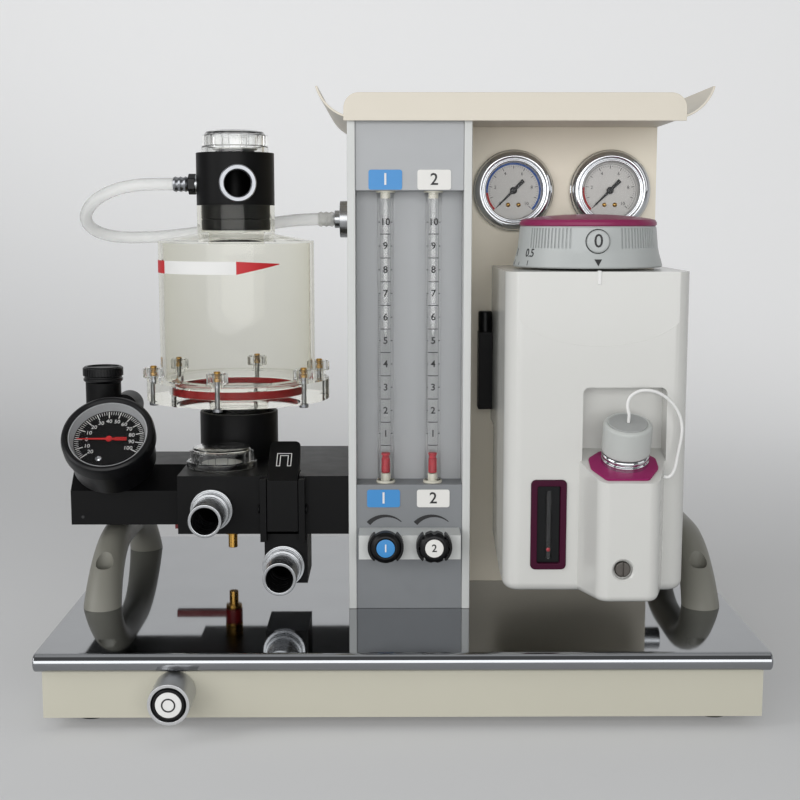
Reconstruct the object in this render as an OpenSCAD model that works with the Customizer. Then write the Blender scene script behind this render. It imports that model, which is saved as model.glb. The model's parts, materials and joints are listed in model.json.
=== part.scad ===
/* [Base] */
// Width of the polished tray over its rim
tray_w = 452; // [440:1:500]
// Depth of the polished tray over its rim
tray_d = 311; // [305:1:340]
// Height of the tray's top face above the bench
tray_z = 50; // [46:1:60]
// Thickness of the tray sheet
tray_sheet = 1.5; // [1:0.1:2.5]
// Radius of the rolled rim bead
rim_r = 5.8; // [5:0.1:6.4]
// Wall of the folded steel chassis
chassis_wall = 2; // [1.5:0.1:3]
// Height of the rubber feet
foot_h = 8; // [6:0.5:12]
// Radius of a rubber foot at its top
foot_r = 12; // [10:0.5:14]

/* [Carrying handles] */
// Radius of the handle bar
handle_r = 11.5; // [10:0.1:12]
// Distance between the two feet of a handle
handle_span = 167; // [155:1:180]
// Bend radius of the handle's shoulders
handle_bend = 70; // [64:1:74]

/* [Oxygen flush button] */
// Sideways place of the flush button
flush_x = -140.5; // [-160:0.5:-120]
// Radius of the button's guard tube
flush_r = 12.75; // [11:0.25:13]
// How far the guard stands out of the chassis
flush_out = 26; // [16:1:30]
// How far the button can be pushed in
flush_travel = 5; // [3:0.5:6]

/* [Column and shelf] */
// Distance from the tray's right edge to the left side of the flowmeter and the column
stack_x = 262; // [258:0.5:266]
// Width of the column housing
column_w = 216; // [210:1:226]
// Height of the column above the tray
column_h = 327; // [315:1:345]
// Front face of the column
column_front = 14.6; // [10:0.2:20]
// Sheet thickness of the column and the shelf
column_wall = 1.5; // [1:0.1:2]
// Front edge of the shelf
shelf_front = -62; // [-70:1:-58]
// Height of the shelf's front lip
shelf_lip = 17; // [12:0.5:20]
// Radius of the curled side wings of the shelf
wing_r = 27.3; // [24:0.1:32]

/* [Pressure gauges] */
// Radius of a gauge bezel
gauge_r = 27.2; // [24:0.2:30]
// Depth of a gauge case
gauge_depth = 9; // [9:0.5:12]
// Distance between the two gauges
gauge_pitch = 68; // [62:1:72]

/* [Flowmeter] */
// Width of the flowmeter housing
flow_w = 81.8; // [78:0.2:84]
// Front edge of the flowmeter's side walls
flow_front = -57; // [-57:0.5:-54]
// Thickness of the flowmeter's side walls
flow_wall = 5.3; // [4:0.1:7]
// Height of the silver head block
flow_head_h = 45.5; // [40:0.5:55]
// Height of the silver valve block
flow_block_h = 85.8; // [80:0.2:92]
// Distance between the two flow tubes
tube_pitch = 31.8; // [29:0.2:34]
// Outer radius of a flow tube
tube_r = 5.5; // [5:0.1:6.5]
// Radius of a flow tube's bore
tube_bore_r = 3.5; // [3.2:0.1:4]
// Length of a float
float_len = 14; // [10:0.5:18]
// Height of the needle valve knobs above the tray
knob_lift = 50; // [46:0.5:54]
// Radius of a needle valve knob
knob_r = 9; // [8:0.1:9.5]
// Length of a needle valve knob
knob_len = 10; // [8:0.5:13]

/* [Vaporizer] */
// Width of the vaporizer body
vap_w = 116; // [112:1:120]
// Front face of the vaporizer body
vap_front = -108; // [-114:1:-104]
// Gap between the tray and the vaporizer's underside
vap_lift = 26; // [22:1:28]
// Height of the vaporizer body
vap_h = 204.5; // [200:0.5:210]
// How far the filler block stands out of the body
filler_out = 26; // [24:0.5:30]
// Radius of the filler cap
cap_r = 15; // [13:0.2:16]
// Length of the filler cap
cap_len = 25.7; // [20:0.1:30]
// Radius of the concentration dial at its foot
dial_r = 49; // [46:0.5:52]
// Height of the concentration dial's ring
dial_h = 26.5; // [24:0.5:30]
// Radius of the zero lock button
zero_r = 7.4; // [6:0.2:8]

/* [Breathing system] */
// Gap between the tray and the underside of the manifold
manifold_lift = 51; // [51:0.5:56]
// Height of the manifold
manifold_h = 40; // [38:0.5:44]
// Front face of the manifold blocks
manifold_front = -52; // [-56:0.5:-50]
// Length of the left manifold bar
bar_w = 79; // [76:0.5:82]
// Width of each manifold block
block_w = 58; // [57:0.5:60]
// Outer radius of the breathing ports
port_r = 11; // [10:0.1:12]
// Radius of the breathing ports' bore
port_bore_r = 9; // [8:0.1:9.5]
// Length of the breathing ports
port_len = 38; // [34:0.5:44]
// Outer radius of the absorber canister
canister_r = 56.25; // [54:0.25:56.5]
// Height of the absorber canister's cylinder
canister_h = 104.5; // [96:0.5:108]
// Wall of the absorber canister
canister_wall = 3.5; // [2.5:0.1:5]
// Radius of the valve head
head_r = 28; // [27:0.25:30]
// Height of the valve head
head_h = 37; // [34:0.5:40]
// Radius of the manometer case
manometer_r = 31.75; // [29:0.25:32.5]
// Depth of the manometer case
manometer_deep = 36; // [30:0.5:38]
// Radius of the pressure limiting valve's neck
apl_r = 12.5; // [11:0.25:13]
// Outer radius of the gas hose
hose_r = 4.5; // [4:0.1:5]
// How far a valve disc can lift
disc_lift = 4; // [2:0.5:5]

/* [Fits] */
// Radial play of a running fit
running = 0.05; // [0.02:0.01:0.08]
// Gap between parts that move past each other
free_gap = 0.4; // [0.3:0.05:0.6]
// Radial play of a screw or stem in its hole
hole_gap = 0.1; // [0.05:0.05:0.3]

/* [Hidden] */
$fn = 64;
over = 1;
round_quarter = 90;
half_turn = 180;

// base
chassis_in_x = 4;
chassis_in_y = 7.5;
ch_x = tray_w / 2 - chassis_in_x;
ch_y = tray_d / 2 - chassis_in_y;
in_x = ch_x - chassis_wall;
in_y = ch_y - chassis_wall;
sheet_z = tray_z - tray_sheet;
flange_w = 30;
flange_t = 2;
floor_t = 1.5;
foot_in_x = 22.5;
foot_x = in_x - foot_in_x;
foot_in_y = 26;
foot_y = in_y - foot_in_y;
foot_tip_r = foot_r - 2;
foot_screw_r = 2;
foot_head_r = 4;
foot_head_h = 2.5;
foot_head_z = 3.5;
foot_screw_z = foot_h + floor_t + 3;
rim_z = tray_z - rim_r;
rim_y = tray_d / 2 - rim_r;
rim_gap = 0.2;

// carrying handles
handle_in = 21;
handle_x = tray_w / 2 - handle_in;
handle_mid_y = 33.5;
handle_front_y = handle_mid_y - handle_span / 2;
handle_sweep = 62;
handle_rise = handle_bend * (1 - cos(handle_sweep));
handle_run = handle_bend * sin(handle_sweep);
handle_top_z = tray_z + handle_rise;
handle_flat = handle_span - 2 * handle_run;
handle_root = 16;
pocket_r = 6;
pocket_up = 10;
pocket_z = tray_z + pocket_up;
pocket_in = 10;
pocket_y = handle_front_y + pocket_in;
handle_screw_r = 2.5;
handle_screw_head_r = 4.6;
handle_screw_head_h = 4;
handle_screw_len = 16;

// oxygen flush button
flush_up = 17.5;
flush_z = foot_h + flush_up;
flush_bore_r = flush_r - 2.05;
flush_neck_r = flush_r - 0.65;
flush_body_r = flush_r + 0.75;
flush_body_len = 30;
flush_head_in = 4;
flush_stem_r = 5;
flush_stem_len = 27;
flush_proud = 0.4;
flush_button_len = 20;
flush_front_y = -ch_y - flush_out - flush_proud;

// column and shelf
column_in = 9.5;
column_back = tray_d / 2 - column_in;
stack_left = tray_w / 2 - stack_x;
column_right = stack_left + column_w;
column_top = tray_z + column_h;
shelf_mid_x = stack_left + column_w / 2 + 1;
shelf_in = 5.9;
shelf_half = column_w / 2 - shelf_in;
shelf_over = 4;
shelf_back = column_back + shelf_over;
lip_over = 8.9;
shelf_lip_half = shelf_half + lip_over;
shelf_lip_r = 10;
shelf_lip_drop = 1;
shelf_t = column_wall;
wing_sweep = 75;

// gas fittings
inlet_in = 66;
inlet_pitch = 80;
inlet_x = [stack_left + inlet_in, stack_left + inlet_in + inlet_pitch];
inlet_lift = 60;
inlet_r = 6;
inlet_collar_r = 10;
inlet_collar_len = 6;
inlet_past = 15.5;
inlet_len = tray_d / 2 + inlet_past - column_back;
outlet_back = 10;
outlet_y = column_front + outlet_back;
outlet_lift = 47;
outlet_r = 8;
outlet_len = 12;
outlet_bore_r = 5;
wall_fit_back = 47.4;
wall_fit_y = column_front + wall_fit_back;
wall_fit_drop = 64;
wall_fit_r = 13.5;
wall_fit_len = 9;
barb_nut_r = 6.5;
barb_nut_len = 4;
barb_r = 3.5;
barb_len = 3;
hose_end_x = stack_left - wall_fit_len - barb_nut_len - barb_len;
hose_end_z = column_top - wall_fit_drop;

// flowmeter
flow_right = stack_left + flow_w;
flow_mid_x = stack_left + flow_w / 2;
flow_in_left = stack_left + flow_wall;
flow_in_right = flow_right - flow_wall;
flow_back_t = 3;
flow_inner_back = column_front - flow_back_t;
flow_block_front = flow_front + 1;
flow_head_front = flow_front + 2;
flow_block_z = tray_z + flow_block_h;
flow_head_z = column_top - flow_head_h;
scale_back = 21;
scale_front = flow_front + scale_back;
scale_t = 2;
tube_x = [flow_mid_x - tube_pitch / 2, flow_mid_x + tube_pitch / 2];
tube_back = 10.5;
tube_y = flow_front + tube_back;
seal_r = tube_r + 2;
seal_h = 4;
stub_r = tube_bore_r - 0.2;
stub_h = 1.2;
float_r = tube_bore_r - 0.5;
float_z = flow_block_z + stub_h + free_gap;
float_stop = 5;
float_travel = flow_head_z - float_z - float_len - float_stop;
panel_out = 23;
panel_front = flow_block_front - panel_out;
panel_down = 10;
panel_z0 = tray_z + knob_lift - panel_down;
panel_up = 6.2;
panel_z1 = tray_z + knob_lift + panel_up;
panel_side = 17.8;
panel_left = tube_x[0] - panel_side;
panel_right = tube_x[1] + panel_side;
knob_z = tray_z + knob_lift;
knob_back_y = panel_front - 1;
spindle_r = 3;
spindle_len = 13;
guard_in_r = knob_r + 1.2;
guard_t = 1.6;
guard_len = 9;
guard_sweep = 100;
flute_r = 2;
flute_count = 8;

// pressure gauges
gauge_in = 33;
gauge_left_x = stack_left + column_w - gauge_in - gauge_pitch;
gauge_x = [gauge_left_x, gauge_left_x + gauge_pitch];
gauge_down = 44;
gauge_z = column_top - gauge_down;
gauge_back_t = 2;
gauge_rim = 7.4;
gauge_bore_r = gauge_r - gauge_rim;
dial_t = 0.8;
pin_r = 0.8;
pin_head_r = 1.6;
pin_head_t = 0.6;
pointer_t = 0.6;
pointer_hub_r = 2.4;
pointer_hub_t = 1.2;
pointer_w = 1.4;
pointer_gap = 3.4;
pointer_reach = gauge_bore_r - pointer_gap;
pointer_tail = 10.4;
pointer_rest = 225;
pointer_z = gauge_back_t + dial_t + free_gap;
lens_t = 1.2;
lens_z = gauge_depth - lens_t - 1;
gauge_stem_r = 5;
gauge_stem_len = 18;

// vaporizer
vap_left = column_right + 0.5 - vap_w;
vap_right = vap_left + vap_w;
vap_mid_x = vap_left + vap_w / 2;
vap_z0 = tray_z + vap_lift;
vap_z1 = vap_z0 + vap_h;
vap_edge = 12;
vap_rear_gap = 28.6;
vap_rear_y = column_front - vap_rear_gap;
vap_rear_lift = 94;
vap_under_len = 80;
vap_under_rise = 19;
vap_rear_z = vap_z0 + vap_rear_lift;
filler_side = 17.5;
filler_x = vap_mid_x + filler_side;
filler_half_front = 18;
filler_half_back = 28;
filler_rise = 0.4;
filler_z0 = vap_z0 + filler_rise;
filler_front = vap_front - filler_out;
filler_slope = 20;
filler_lip_lift = 75.7;
filler_lip_z = vap_z0 + filler_lip_lift;
filler_axis_out = 2.5;
filler_axis_y = vap_front - filler_axis_out;
filler_axis_z = filler_lip_z + (filler_axis_y - filler_front) * tan(filler_slope);
slope_len = 60;
recess_half = 26.5;
recess_lift = 132;
recess_top = vap_z0 + recess_lift;
recess_deep = 15.5;
trim_t = 1.2;
trim_gap = 0.2;
trim_half = 24.5;
trim_nose_half = 16;
trim_nose_y = 1.5 - (filler_out - 2.5) / cos(filler_slope);
trim_mid_y = -5;
trim_back_y = 13;
neck_t = 3;
neck_flange_r = cap_r;
neck_tube_r = 9;
neck_tube_len = 15;
neck_bore_r = 6.5;
neck_root = 10;
cap_from = neck_t + free_gap;
cap_bore_len = 15;
sight_in = 17;
sight_x0 = vap_left + sight_in;
sight_w = 22.6;
sight_up = 15;
sight_z0 = vap_z0 + sight_up;
sight_h = 58;
sight_deep = 4;
sight_proud = 1.5;
sight_frame = 4;
sight_round = 3;
window_t = 1.5;
drain_side = 3.5;
drain_x = filler_x - drain_side;
drain_up = 21;
drain_z = vap_z0 + drain_up;
drain_pocket_r = 6.2;
drain_pocket_deep = 4;
drain_head_r = 5.5;
drain_head_t = 3;
drain_stem_r = 2.5;
drain_stem_len = 9;
drain_slot = 1;
dial_x = vap_mid_x;
dial_back = 56;
dial_y = vap_front + dial_back;
dial_gap = 1.5;
dial_z0 = vap_z1 + dial_gap;
dial_z1 = dial_z0 + dial_h;
dial_taper = 3;
boss_r = 20;
boss_h = 18;
boss_play = 0.5;
dial_cap_gap = 4;
dial_cap_r = dial_r - dial_cap_gap;
dial_cap_step_fit = 5;
dial_cap_mid_r = dial_cap_r - dial_cap_step_fit;
dial_cap_in = 22;
dial_cap_top_r = dial_cap_r - dial_cap_in;
dial_cap_step = 5;
dial_cap_h = 7.9;
zero_rise = 3.8;
zero_z = dial_z0 + dial_h / 2 + zero_rise;
zero_pocket = 12;
zero_len = 9;
zero_proud = 2.5;
zero_stem_r = 2.5;
zero_stem_len = 8;
zero_travel = 2.5;
zero_front_y = dial_y - dial_r + dial_taper / 2 - zero_proud;
mount_w = 9.9;
mount_lift = 103;
mount_z0 = vap_z0 + mount_lift;
mount_h = 55;
mount_deep = 14.6;
mount_fit_r = 4.5;
mount_fit_h = 14;

// breathing system
man_z0 = tray_z + manifold_lift;
man_z1 = man_z0 + manifold_h;
ex_left = stack_left - block_w - 1;
in_left = ex_left - block_w + 1;
bar_left = in_left - bar_w;
block_back = 70;
bar_setback = 29;
bar_front = manifold_front + bar_setback;
bar_back = 46;
bar_chamfer = 16;
port_in = 23.4;
port_x = in_left + port_in;
port_up = 17.3;
port_z = man_z0 + port_up;
port_flange_over = 3.3;
port_flange_r = port_r + port_flange_over;
port_step_r = port_r + 1.5;
port_flange_t = 5;
port_step_t = 7;
bag_x0 = ex_left + 1.5;
bag_block_w = 30.7;
bag_x1 = ex_left + bag_block_w;
bag_h = 34.2;
bag_back = -6;
bag_port_in = 14.5;
bag_port_x = ex_left + bag_port_in;
bag_port_down = 21.5;
bag_port_z = man_z0 - bag_port_down;
gas_way_deep = 32;
slot_in = 3.6;
slot_x0 = ex_left + slot_in;
slot_far = 25.3;
slot_x1 = ex_left + slot_far;
slot_back = -30;
cheek_out = 7;
cheek_t = 4.2;
cheek_drop = 4;
cheek_z0 = man_z0 - cheek_drop;
cheek_z1 = man_z1 - 1;
lever_out = 3;
lever_y = manifold_front - lever_out;
lever_up = 17.8;
lever_z = man_z0 + lever_up;
lever_nose = 6.5;
lever_front = manifold_front - lever_nose;
lever_deep = 6;
lever_back = manifold_front + lever_deep;
lever_foot_up = 3;
lever_foot_z = man_z0 + lever_foot_up;
lever_nose_z = man_z1 - 2;
lever_top_back = 30;
lever_top_y = manifold_front + lever_top_back;
lever_top_up = 19;
lever_top_z = man_z1 + lever_top_up;
lever_t = 8;
lever_pin_r = 2;
lever_pin_head_r = 3;
lever_pin_head_t = 1;

dome_in = 26;
dome_x = in_left + dome_in;
dome_back = 36;
dome_y = manifold_front + dome_back;
dome_r = 24.4;
dome_step_r = 21;
dome_flange_h = 5;
dome_h = 15;
dome_wall = 2.5;
seat_r = 10;
seat_bore_r = 8;
seat_h = 2;
disc_r = 14;
disc_t = 1;
valve_way_deep = 22;

man_in = 31.6;
man_x = bar_left + man_in;
man_foot_back = 11;
man_foot_y = bar_front + man_foot_back;
man_foot_up = 11;
man_foot_z = man_z1 - bar_chamfer + man_foot_up;
man_tilt = 45;
man_stem_r = 4.75;
man_case_z = 12.1;
man_wall = 5;
man_bore_r = manometer_r - man_wall;
man_bore_deep = 9;
man_dial_z = man_case_z + manometer_deep - man_bore_deep;
man_pointer_z = man_dial_z + dial_t + free_gap;
man_pointer_gap = 4.5;
man_pointer_reach = man_bore_r - man_pointer_gap;
man_pointer_tail = 12;
man_pointer_rest = 180;

apl_in = 17;
apl_x = bar_left + apl_in;
apl_back = 38;
apl_y = bar_front + apl_back;
apl_neck_h = 56;
apl_cap_r = apl_r + 1.8;
apl_cap_h = 10.8;
apl_stem_r = 5;
apl_stem_h = 8;
apl_cap_gap = 0.8;
apl_arm_side = 14;
apl_arm_x = apl_x + apl_arm_side;
apl_arm_up = 37;
apl_arm_z = man_z1 + apl_arm_up;
apl_arm_r = 10;
apl_arm_len = 25;

drain_valve_x = dome_x - 1;
drain_valve_y = 50;
nut_r = 6.5;
nut_h = 9;
drain_neck_r = 4;
drain_neck_h = 11.5;
drain_collar_r = 6;
drain_collar_h = 3;
drain_barb_r = 3.4;
drain_barb_h = 10.5;
drain_bore_r = 2;
drain_hub_r = 6.4;
drain_hub_h = 10.7;
drain_arm_share = 0.646617;
drain_arm_len = drain_arm_share * (drain_valve_x + handle_x - handle_r);
drain_arm_w = 7;
drain_arm_h = 5;

can_side = 6.5;
can_x = dome_x + can_side;
can_back = 54;
can_y = dome_y + can_back;
collar_r = 28.5;
collar_h = 32.4;
collar_bore_r = 20;
neck_in_r = 21;
neck_out_r = 25.5;
neck_sink = 8.4;
collar_z1 = man_z1 + collar_h;
base_flange_out = 10.25;
base_flange_gap = 9.6;
base_flange_r = canister_r + base_flange_out;
base_flange_z = collar_z1 + base_flange_gap;
base_flange_t = 6;
gasket_t = 2.5;
gasket_in = 5.25;
gasket_r = canister_r - gasket_in;
gasket_w = 7;
can_z0 = base_flange_z + base_flange_t + gasket_t;
can_flange_t = 6;
can_z1 = can_z0 + canister_h;
can_roof_t = 3.5;
can_shoulder_drop = 2;
can_shoulder_rise = 2.9;
can_neck_r = 28;
can_neck_h = 23.5;
can_neck_bore_r = 20;
head_z0 = can_z1 + can_roof_t + can_neck_h;
head_z1 = head_z0 + head_h;
bolt_out = 6.75;
bolt_ring = canister_r + bolt_out;
bolt_r = 1.8;
bolt_from = 23;
bolt_count = 6;
clamp_r = 6.2;
clamp_h = 10.5;
clamp_neck_r = 4;
clamp_neck_h = 3;
bolt_head_r = 3.2;
bolt_head_t = 2.5;
head_port_turn = 9.6;
head_port_drop = 22;
head_port_r = 13;
head_port_bore_r = 10;
head_port_out = 2.5;
head_port_sink = 6;
head_way_r = 12;
head_seat_r = 14;
head_disc_r = 16;
head_dome_r = 24;
head_dome_step_r = 22;
head_dome_h = 15.8;
head_barb_drop = 22;
head_barb_len = 7.5;
head_nut_len = 5;

// free lines: hand-laid points, joined by a swept tube
hose_start_x = can_x - head_r - head_nut_len - head_barb_len;
hose_start_z = head_z1 - head_barb_drop;
hose_path = [
  [hose_start_x, can_y, hose_start_z], [-174, can_y, hose_start_z], [-191, 40.4, 337.4],
  [-207, 46, 334.5], [-220, 53.5, 329.5], [-230, 63, 323], [-236, 74, 315.5],
  [-236.5, 85, 308.5], [-231, 95, 303],
  [-221, 101.5, 300], [-208, 104, 299], [-194, 104, 299.3], [-180, 102, 300.2],
  [-165, 99, 301.8], [-150, 96, 303.6], [-135, 92.5, 305.4], [-120, 88.5, 307],
  [-106, 84, 308.6], [-94, 78.5, 310.4], [-83, 72.4, 311.8], [-73, 66.6, 312.6],
  [-63, wall_fit_y, hose_end_z], [hose_end_x, wall_fit_y, hose_end_z]];
hose_sides = 12;
tether_r = 1;
tether_sides = 8;
tether_gap = 0.35;
cap_top = cap_from + cap_len;
tether_start = [
  filler_x,
  filler_axis_y - (cap_top + tether_gap) * sin(filler_slope),
  filler_axis_z + (cap_top + tether_gap) * cos(filler_slope)];
tether_end = [
  filler_x + (filler_half_front + filler_half_back) / 2,
  vap_front - filler_out / 2,
  filler_lip_z + 1.8];
tether_path = [
  tether_start, [140, -122.4, 193], [138.8, -123, 198.5], [140.4, -122.6, 204],
  [146, -121.5, 207.4], [152, -120.8, 207.8], [158, -120, 206.4], [164, -118.6, 202.8],
  [169, -117.2, 197.8], [172.6, -116, 192], [174.5, -115.2, 185.4], [174.6, -115, 178.6],
  [173.4, -115.2, 172], [171.9, -116.6, 166], [170.6, -118.6, 160.6], [168.6, -120.9, 156.2],
  [165.8, -122.1, 153.6], tether_end];

module box(x0, x1, y0, y1, z0, z1) {
  translate([x0, y0, z0]) cube([x1 - x0, y1 - y0, z1 - z0]);
}

module rod_x(x0, x1, y, z, r) {
  translate([x0, y, z]) rotate([0, round_quarter, 0]) cylinder(h = x1 - x0, r = r);
}

module rod_y(x, y0, y1, z, r) {
  translate([x, y0, z]) rotate([-round_quarter, 0, 0]) cylinder(h = y1 - y0, r = r);
}

module rod_z(x, y, z0, z1, r) {
  translate([x, y, z0]) cylinder(h = z1 - z0, r = r);
}

module round_plan(x0, x1, y0, y1, r) {
  translate([x0 + r, y0]) square([x1 - x0 - 2 * r, y1 - y0]);
  translate([x0, y0 + r]) square([x1 - x0, y1 - y0 - 2 * r]);
  for (x = [x0 + r, x1 - r])
    for (y = [y0 + r, y1 - r])
      translate([x, y]) circle(r = r);
}

// local frame on a front-facing dial: x right, y up, z toward the viewer
module facing(x, y, z) {
  translate([x, y, z]) rotate([round_quarter, 0, 0]) children();
}

module manometer_frame() {
  translate([man_x, man_foot_y, man_foot_z]) rotate([man_tilt, 0, 0]) children();
}

module filler_frame() {
  translate([filler_x, filler_axis_y, filler_axis_z]) rotate([filler_slope, 0, 0]) children();
}

// pointer hand lying in its own plane, hub at the origin
module hand(reach, tail, rest) {
  difference() {
    union() {
      cylinder(h = pointer_hub_t, r = pointer_hub_r);
      rotate([0, 0, rest]) translate([-tail, -pointer_w / 2, 0])
        cube([tail + reach, pointer_w, pointer_t]);
    }
    translate([0, 0, -over]) cylinder(h = pointer_hub_t + 2 * over, r = pin_r + running);
  }
}

// pin with a head that keeps a pointer on a dial
module hand_pin() {
  cylinder(h = dial_t + 2 * free_gap + pointer_hub_t, r = pin_r);
  translate([0, 0, dial_t + 2 * free_gap + pointer_hub_t])
    cylinder(h = pin_head_t, r = pin_head_r);
}

// swept tube along hand-laid points
function unit(v) = v / norm(v);
function heading(p, i) =
  i == 0 ? unit(p[1] - p[0]) :
  i == len(p) - 1 ? unit(p[i] - p[i - 1]) :
  unit(unit(p[i + 1] - p[i]) + unit(p[i] - p[i - 1]));
function side_of(t, ref) = unit(ref - t * (ref * t));
function sides_of(p, i, ref) =
  let (s = side_of(heading(p, i), ref))
  i == len(p) - 1 ? [s] : concat([s], sides_of(p, i + 1, s));
function bend_at(a, b, c, d, u) =
  0.5 * ((2 * b) + (c - a) * u + (2 * a - 5 * b + 4 * c - d) * u * u
  + (3 * b - a - 3 * c + d) * u * u * u);
function laid(p, n) = concat(
  [for (i = [0 : len(p) - 2]) for (k = [0 : n - 1])
    bend_at(p[max(i - 1, 0)], p[i], p[i + 1], p[min(i + 2, len(p) - 1)], k / n)],
  [p[len(p) - 1]]);
module swept(p, r, sides, ref) {
  s = sides_of(p, 0, ref);
  rings = len(p);
  turn = 360 / sides;
  points = [for (i = [0 : rings - 1]) for (k = [0 : sides - 1])
    p[i] + r * cos(k * turn) * s[i] + r * sin(k * turn) * cross(heading(p, i), s[i])];
  skin = [for (i = [0 : rings - 2]) for (k = [0 : sides - 1])
    let (a = i * sides + k, b = i * sides + (k + 1) % sides)
    [a, a + sides, b + sides, b]];
  near = [for (k = [0 : sides - 1]) k];
  far = [for (k = [sides - 1 : -1 : 0]) (rings - 1) * sides + k];
  polyhedron(points = points, faces = concat([near], skin, [far]));
}

module base_chassis() {
  color("#DED7CB") difference() {
    box(-ch_x, ch_x, -ch_y, ch_y, foot_h, sheet_z);
    box(-in_x, in_x, -in_y, in_y, foot_h - over, sheet_z - flange_t);
    box(-in_x + flange_w, in_x - flange_w, -in_y + flange_w, in_y - flange_w, foot_h,
        sheet_z + over);
    rod_y(flush_x, -ch_y - over, -in_y + over, flush_z, flush_neck_r + hole_gap);
    for (x = [-handle_x, handle_x])
      for (y = [pocket_y, 2 * handle_mid_y - pocket_y])
        rod_z(x, y, foot_h, sheet_z + over, handle_screw_r + hole_gap);
  }
}

module floor_panel() {
  color("#B9B4A8") difference() {
    box(-in_x, in_x, -in_y, in_y, foot_h, foot_h + floor_t);
    for (x = [-foot_x, foot_x])
      for (y = [-foot_y, foot_y])
        rod_z(x, y, foot_h - over, foot_h + floor_t + over, foot_screw_r + hole_gap);
  }
}

module rubber_feet() {
  color("#26262A")
    for (x = [-foot_x, foot_x])
      for (y = [-foot_y, foot_y])
        translate([x, y, 0]) difference() {
          cylinder(h = foot_h, r1 = foot_tip_r, r2 = foot_r);
          translate([0, 0, -over]) cylinder(h = foot_head_z + over, r = foot_head_r + free_gap);
          cylinder(h = foot_h + over, r = foot_screw_r + hole_gap);
        }
}

module tray_top() {
  color("#C9CCD0") difference() {
    union() {
      box(-tray_w / 2, tray_w / 2, -rim_y, tray_d / 2, rim_z - rim_r, tray_z);
      rod_x(-tray_w / 2, tray_w / 2, -rim_y, rim_z, rim_r);
    }
    box(-ch_x - rim_gap, ch_x + rim_gap, -ch_y - rim_gap, ch_y + rim_gap, 0, sheet_z);
    for (x = [-handle_x, handle_x])
      for (y = [pocket_y, 2 * handle_mid_y - pocket_y])
        rod_z(x, y, foot_h, tray_z + over, handle_screw_r + hole_gap);
  }
}

// one half of a bar handle: sloping root, bent shoulder, half of the flat top
module handle_half() {
  translate([0, -handle_flat / 2, handle_top_z - handle_bend]) {
    rotate([0, round_quarter, 0]) rotate([0, 0, half_turn])
      rotate_extrude(angle = handle_sweep) translate([handle_bend, 0]) circle(r = handle_r);
    rotate([handle_sweep, 0, 0]) translate([0, 0, handle_bend])
      rotate([round_quarter, 0, 0]) cylinder(h = handle_root, r = handle_r);
  }
  translate([0, 0, handle_top_z]) rotate([round_quarter, 0, 0])
    cylinder(h = handle_flat / 2, r = handle_r);
}

module handle(x) {
  color("#85837A") translate([x, handle_mid_y, 0]) difference() {
    union() {
      handle_half();
      mirror([0, 1, 0]) handle_half();
    }
    box(-2 * handle_r, 2 * handle_r, -handle_span, handle_span, 0, tray_z);
    for (y = [pocket_y - handle_mid_y, handle_mid_y - pocket_y]) {
      rod_z(0, y, pocket_z, handle_top_z + handle_r + over, pocket_r);
      rod_z(0, y, tray_z - over, pocket_z + over, handle_screw_r + hole_gap);
    }
  }
}

module left_handle() {
  handle(-handle_x);
}

module right_handle() {
  handle(handle_x);
}

module case_screws() {
  color("#8E9196") {
    for (x = [-handle_x, handle_x])
      for (y = [pocket_y, 2 * handle_mid_y - pocket_y]) {
        rod_z(x, y, pocket_z, pocket_z + handle_screw_head_h, handle_screw_head_r);
        rod_z(x, y, pocket_z - handle_screw_len, pocket_z, handle_screw_r);
      }
    for (x = [-foot_x, foot_x])
      for (y = [-foot_y, foot_y]) {
        rod_z(x, y, foot_head_z - foot_head_h, foot_head_z, foot_head_r);
        rod_z(x, y, foot_head_z, foot_screw_z, foot_screw_r);
      }
  }
}

module flush_valve() {
  color("#C3C6C9") difference() {
    union() {
      rod_y(flush_x, -ch_y - flush_out, -ch_y, flush_z, flush_r);
      rod_y(flush_x, -ch_y - over, -in_y + over, flush_z, flush_neck_r);
      rod_y(flush_x, -in_y, -in_y + flush_body_len, flush_z, flush_body_r);
    }
    rod_y(flush_x, -ch_y - flush_out - over, -in_y + flush_head_in, flush_z, flush_bore_r);
    rod_y(flush_x, -in_y, -in_y + flush_body_len - over, flush_z, flush_stem_r + running);
  }
}

module flush_button() {
  color("#2B2B2E") {
    rod_y(flush_x, flush_front_y, flush_front_y + flush_button_len, flush_z,
          flush_bore_r - free_gap);
    rod_y(flush_x, flush_front_y + flush_button_len - over,
          flush_front_y + flush_button_len + flush_stem_len, flush_z, flush_stem_r);
  }
}

module column_housing() {
  color("#DED7CB") difference() {
    box(stack_left, column_right, column_front, column_back, tray_z, column_top);
    box(stack_left + column_wall, column_right - column_wall, column_front + column_wall,
        column_back + over, tray_z + column_wall, column_top - column_wall);
    for (x = gauge_x)
      rod_y(x, column_front - over, column_front + column_wall + over, gauge_z,
            gauge_stem_r + hole_gap);
    rod_x(stack_left - over, stack_left + column_wall + over, wall_fit_y, hose_end_z,
          barb_nut_r + hole_gap);
    rod_x(column_right - column_wall - over, column_right + over, outlet_y, tray_z + outlet_lift,
          outlet_bore_r + hole_gap);
  }
}

module rear_panel() {
  color("#D3CCC0") difference() {
    box(stack_left + column_wall, column_right - column_wall, column_back - column_wall, column_back,
        tray_z + column_wall, column_top - column_wall);
    for (x = inlet_x)
      rod_y(x, column_back - column_wall - over, column_back + over, tray_z + inlet_lift,
            inlet_r + hole_gap);
  }
}

// curled right wing, swept about an axis along the shelf, measured from the shelf's middle
module wing() {
  translate([shelf_half, shelf_back, column_top + shelf_t / 2 + wing_r])
    rotate([round_quarter, 0, 0]) rotate([0, 0, -round_quarter])
      rotate_extrude(angle = wing_sweep) translate([wing_r - shelf_t / 2, 0])
        square([shelf_t, shelf_back - shelf_front - shelf_t / 2]);
}

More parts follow.
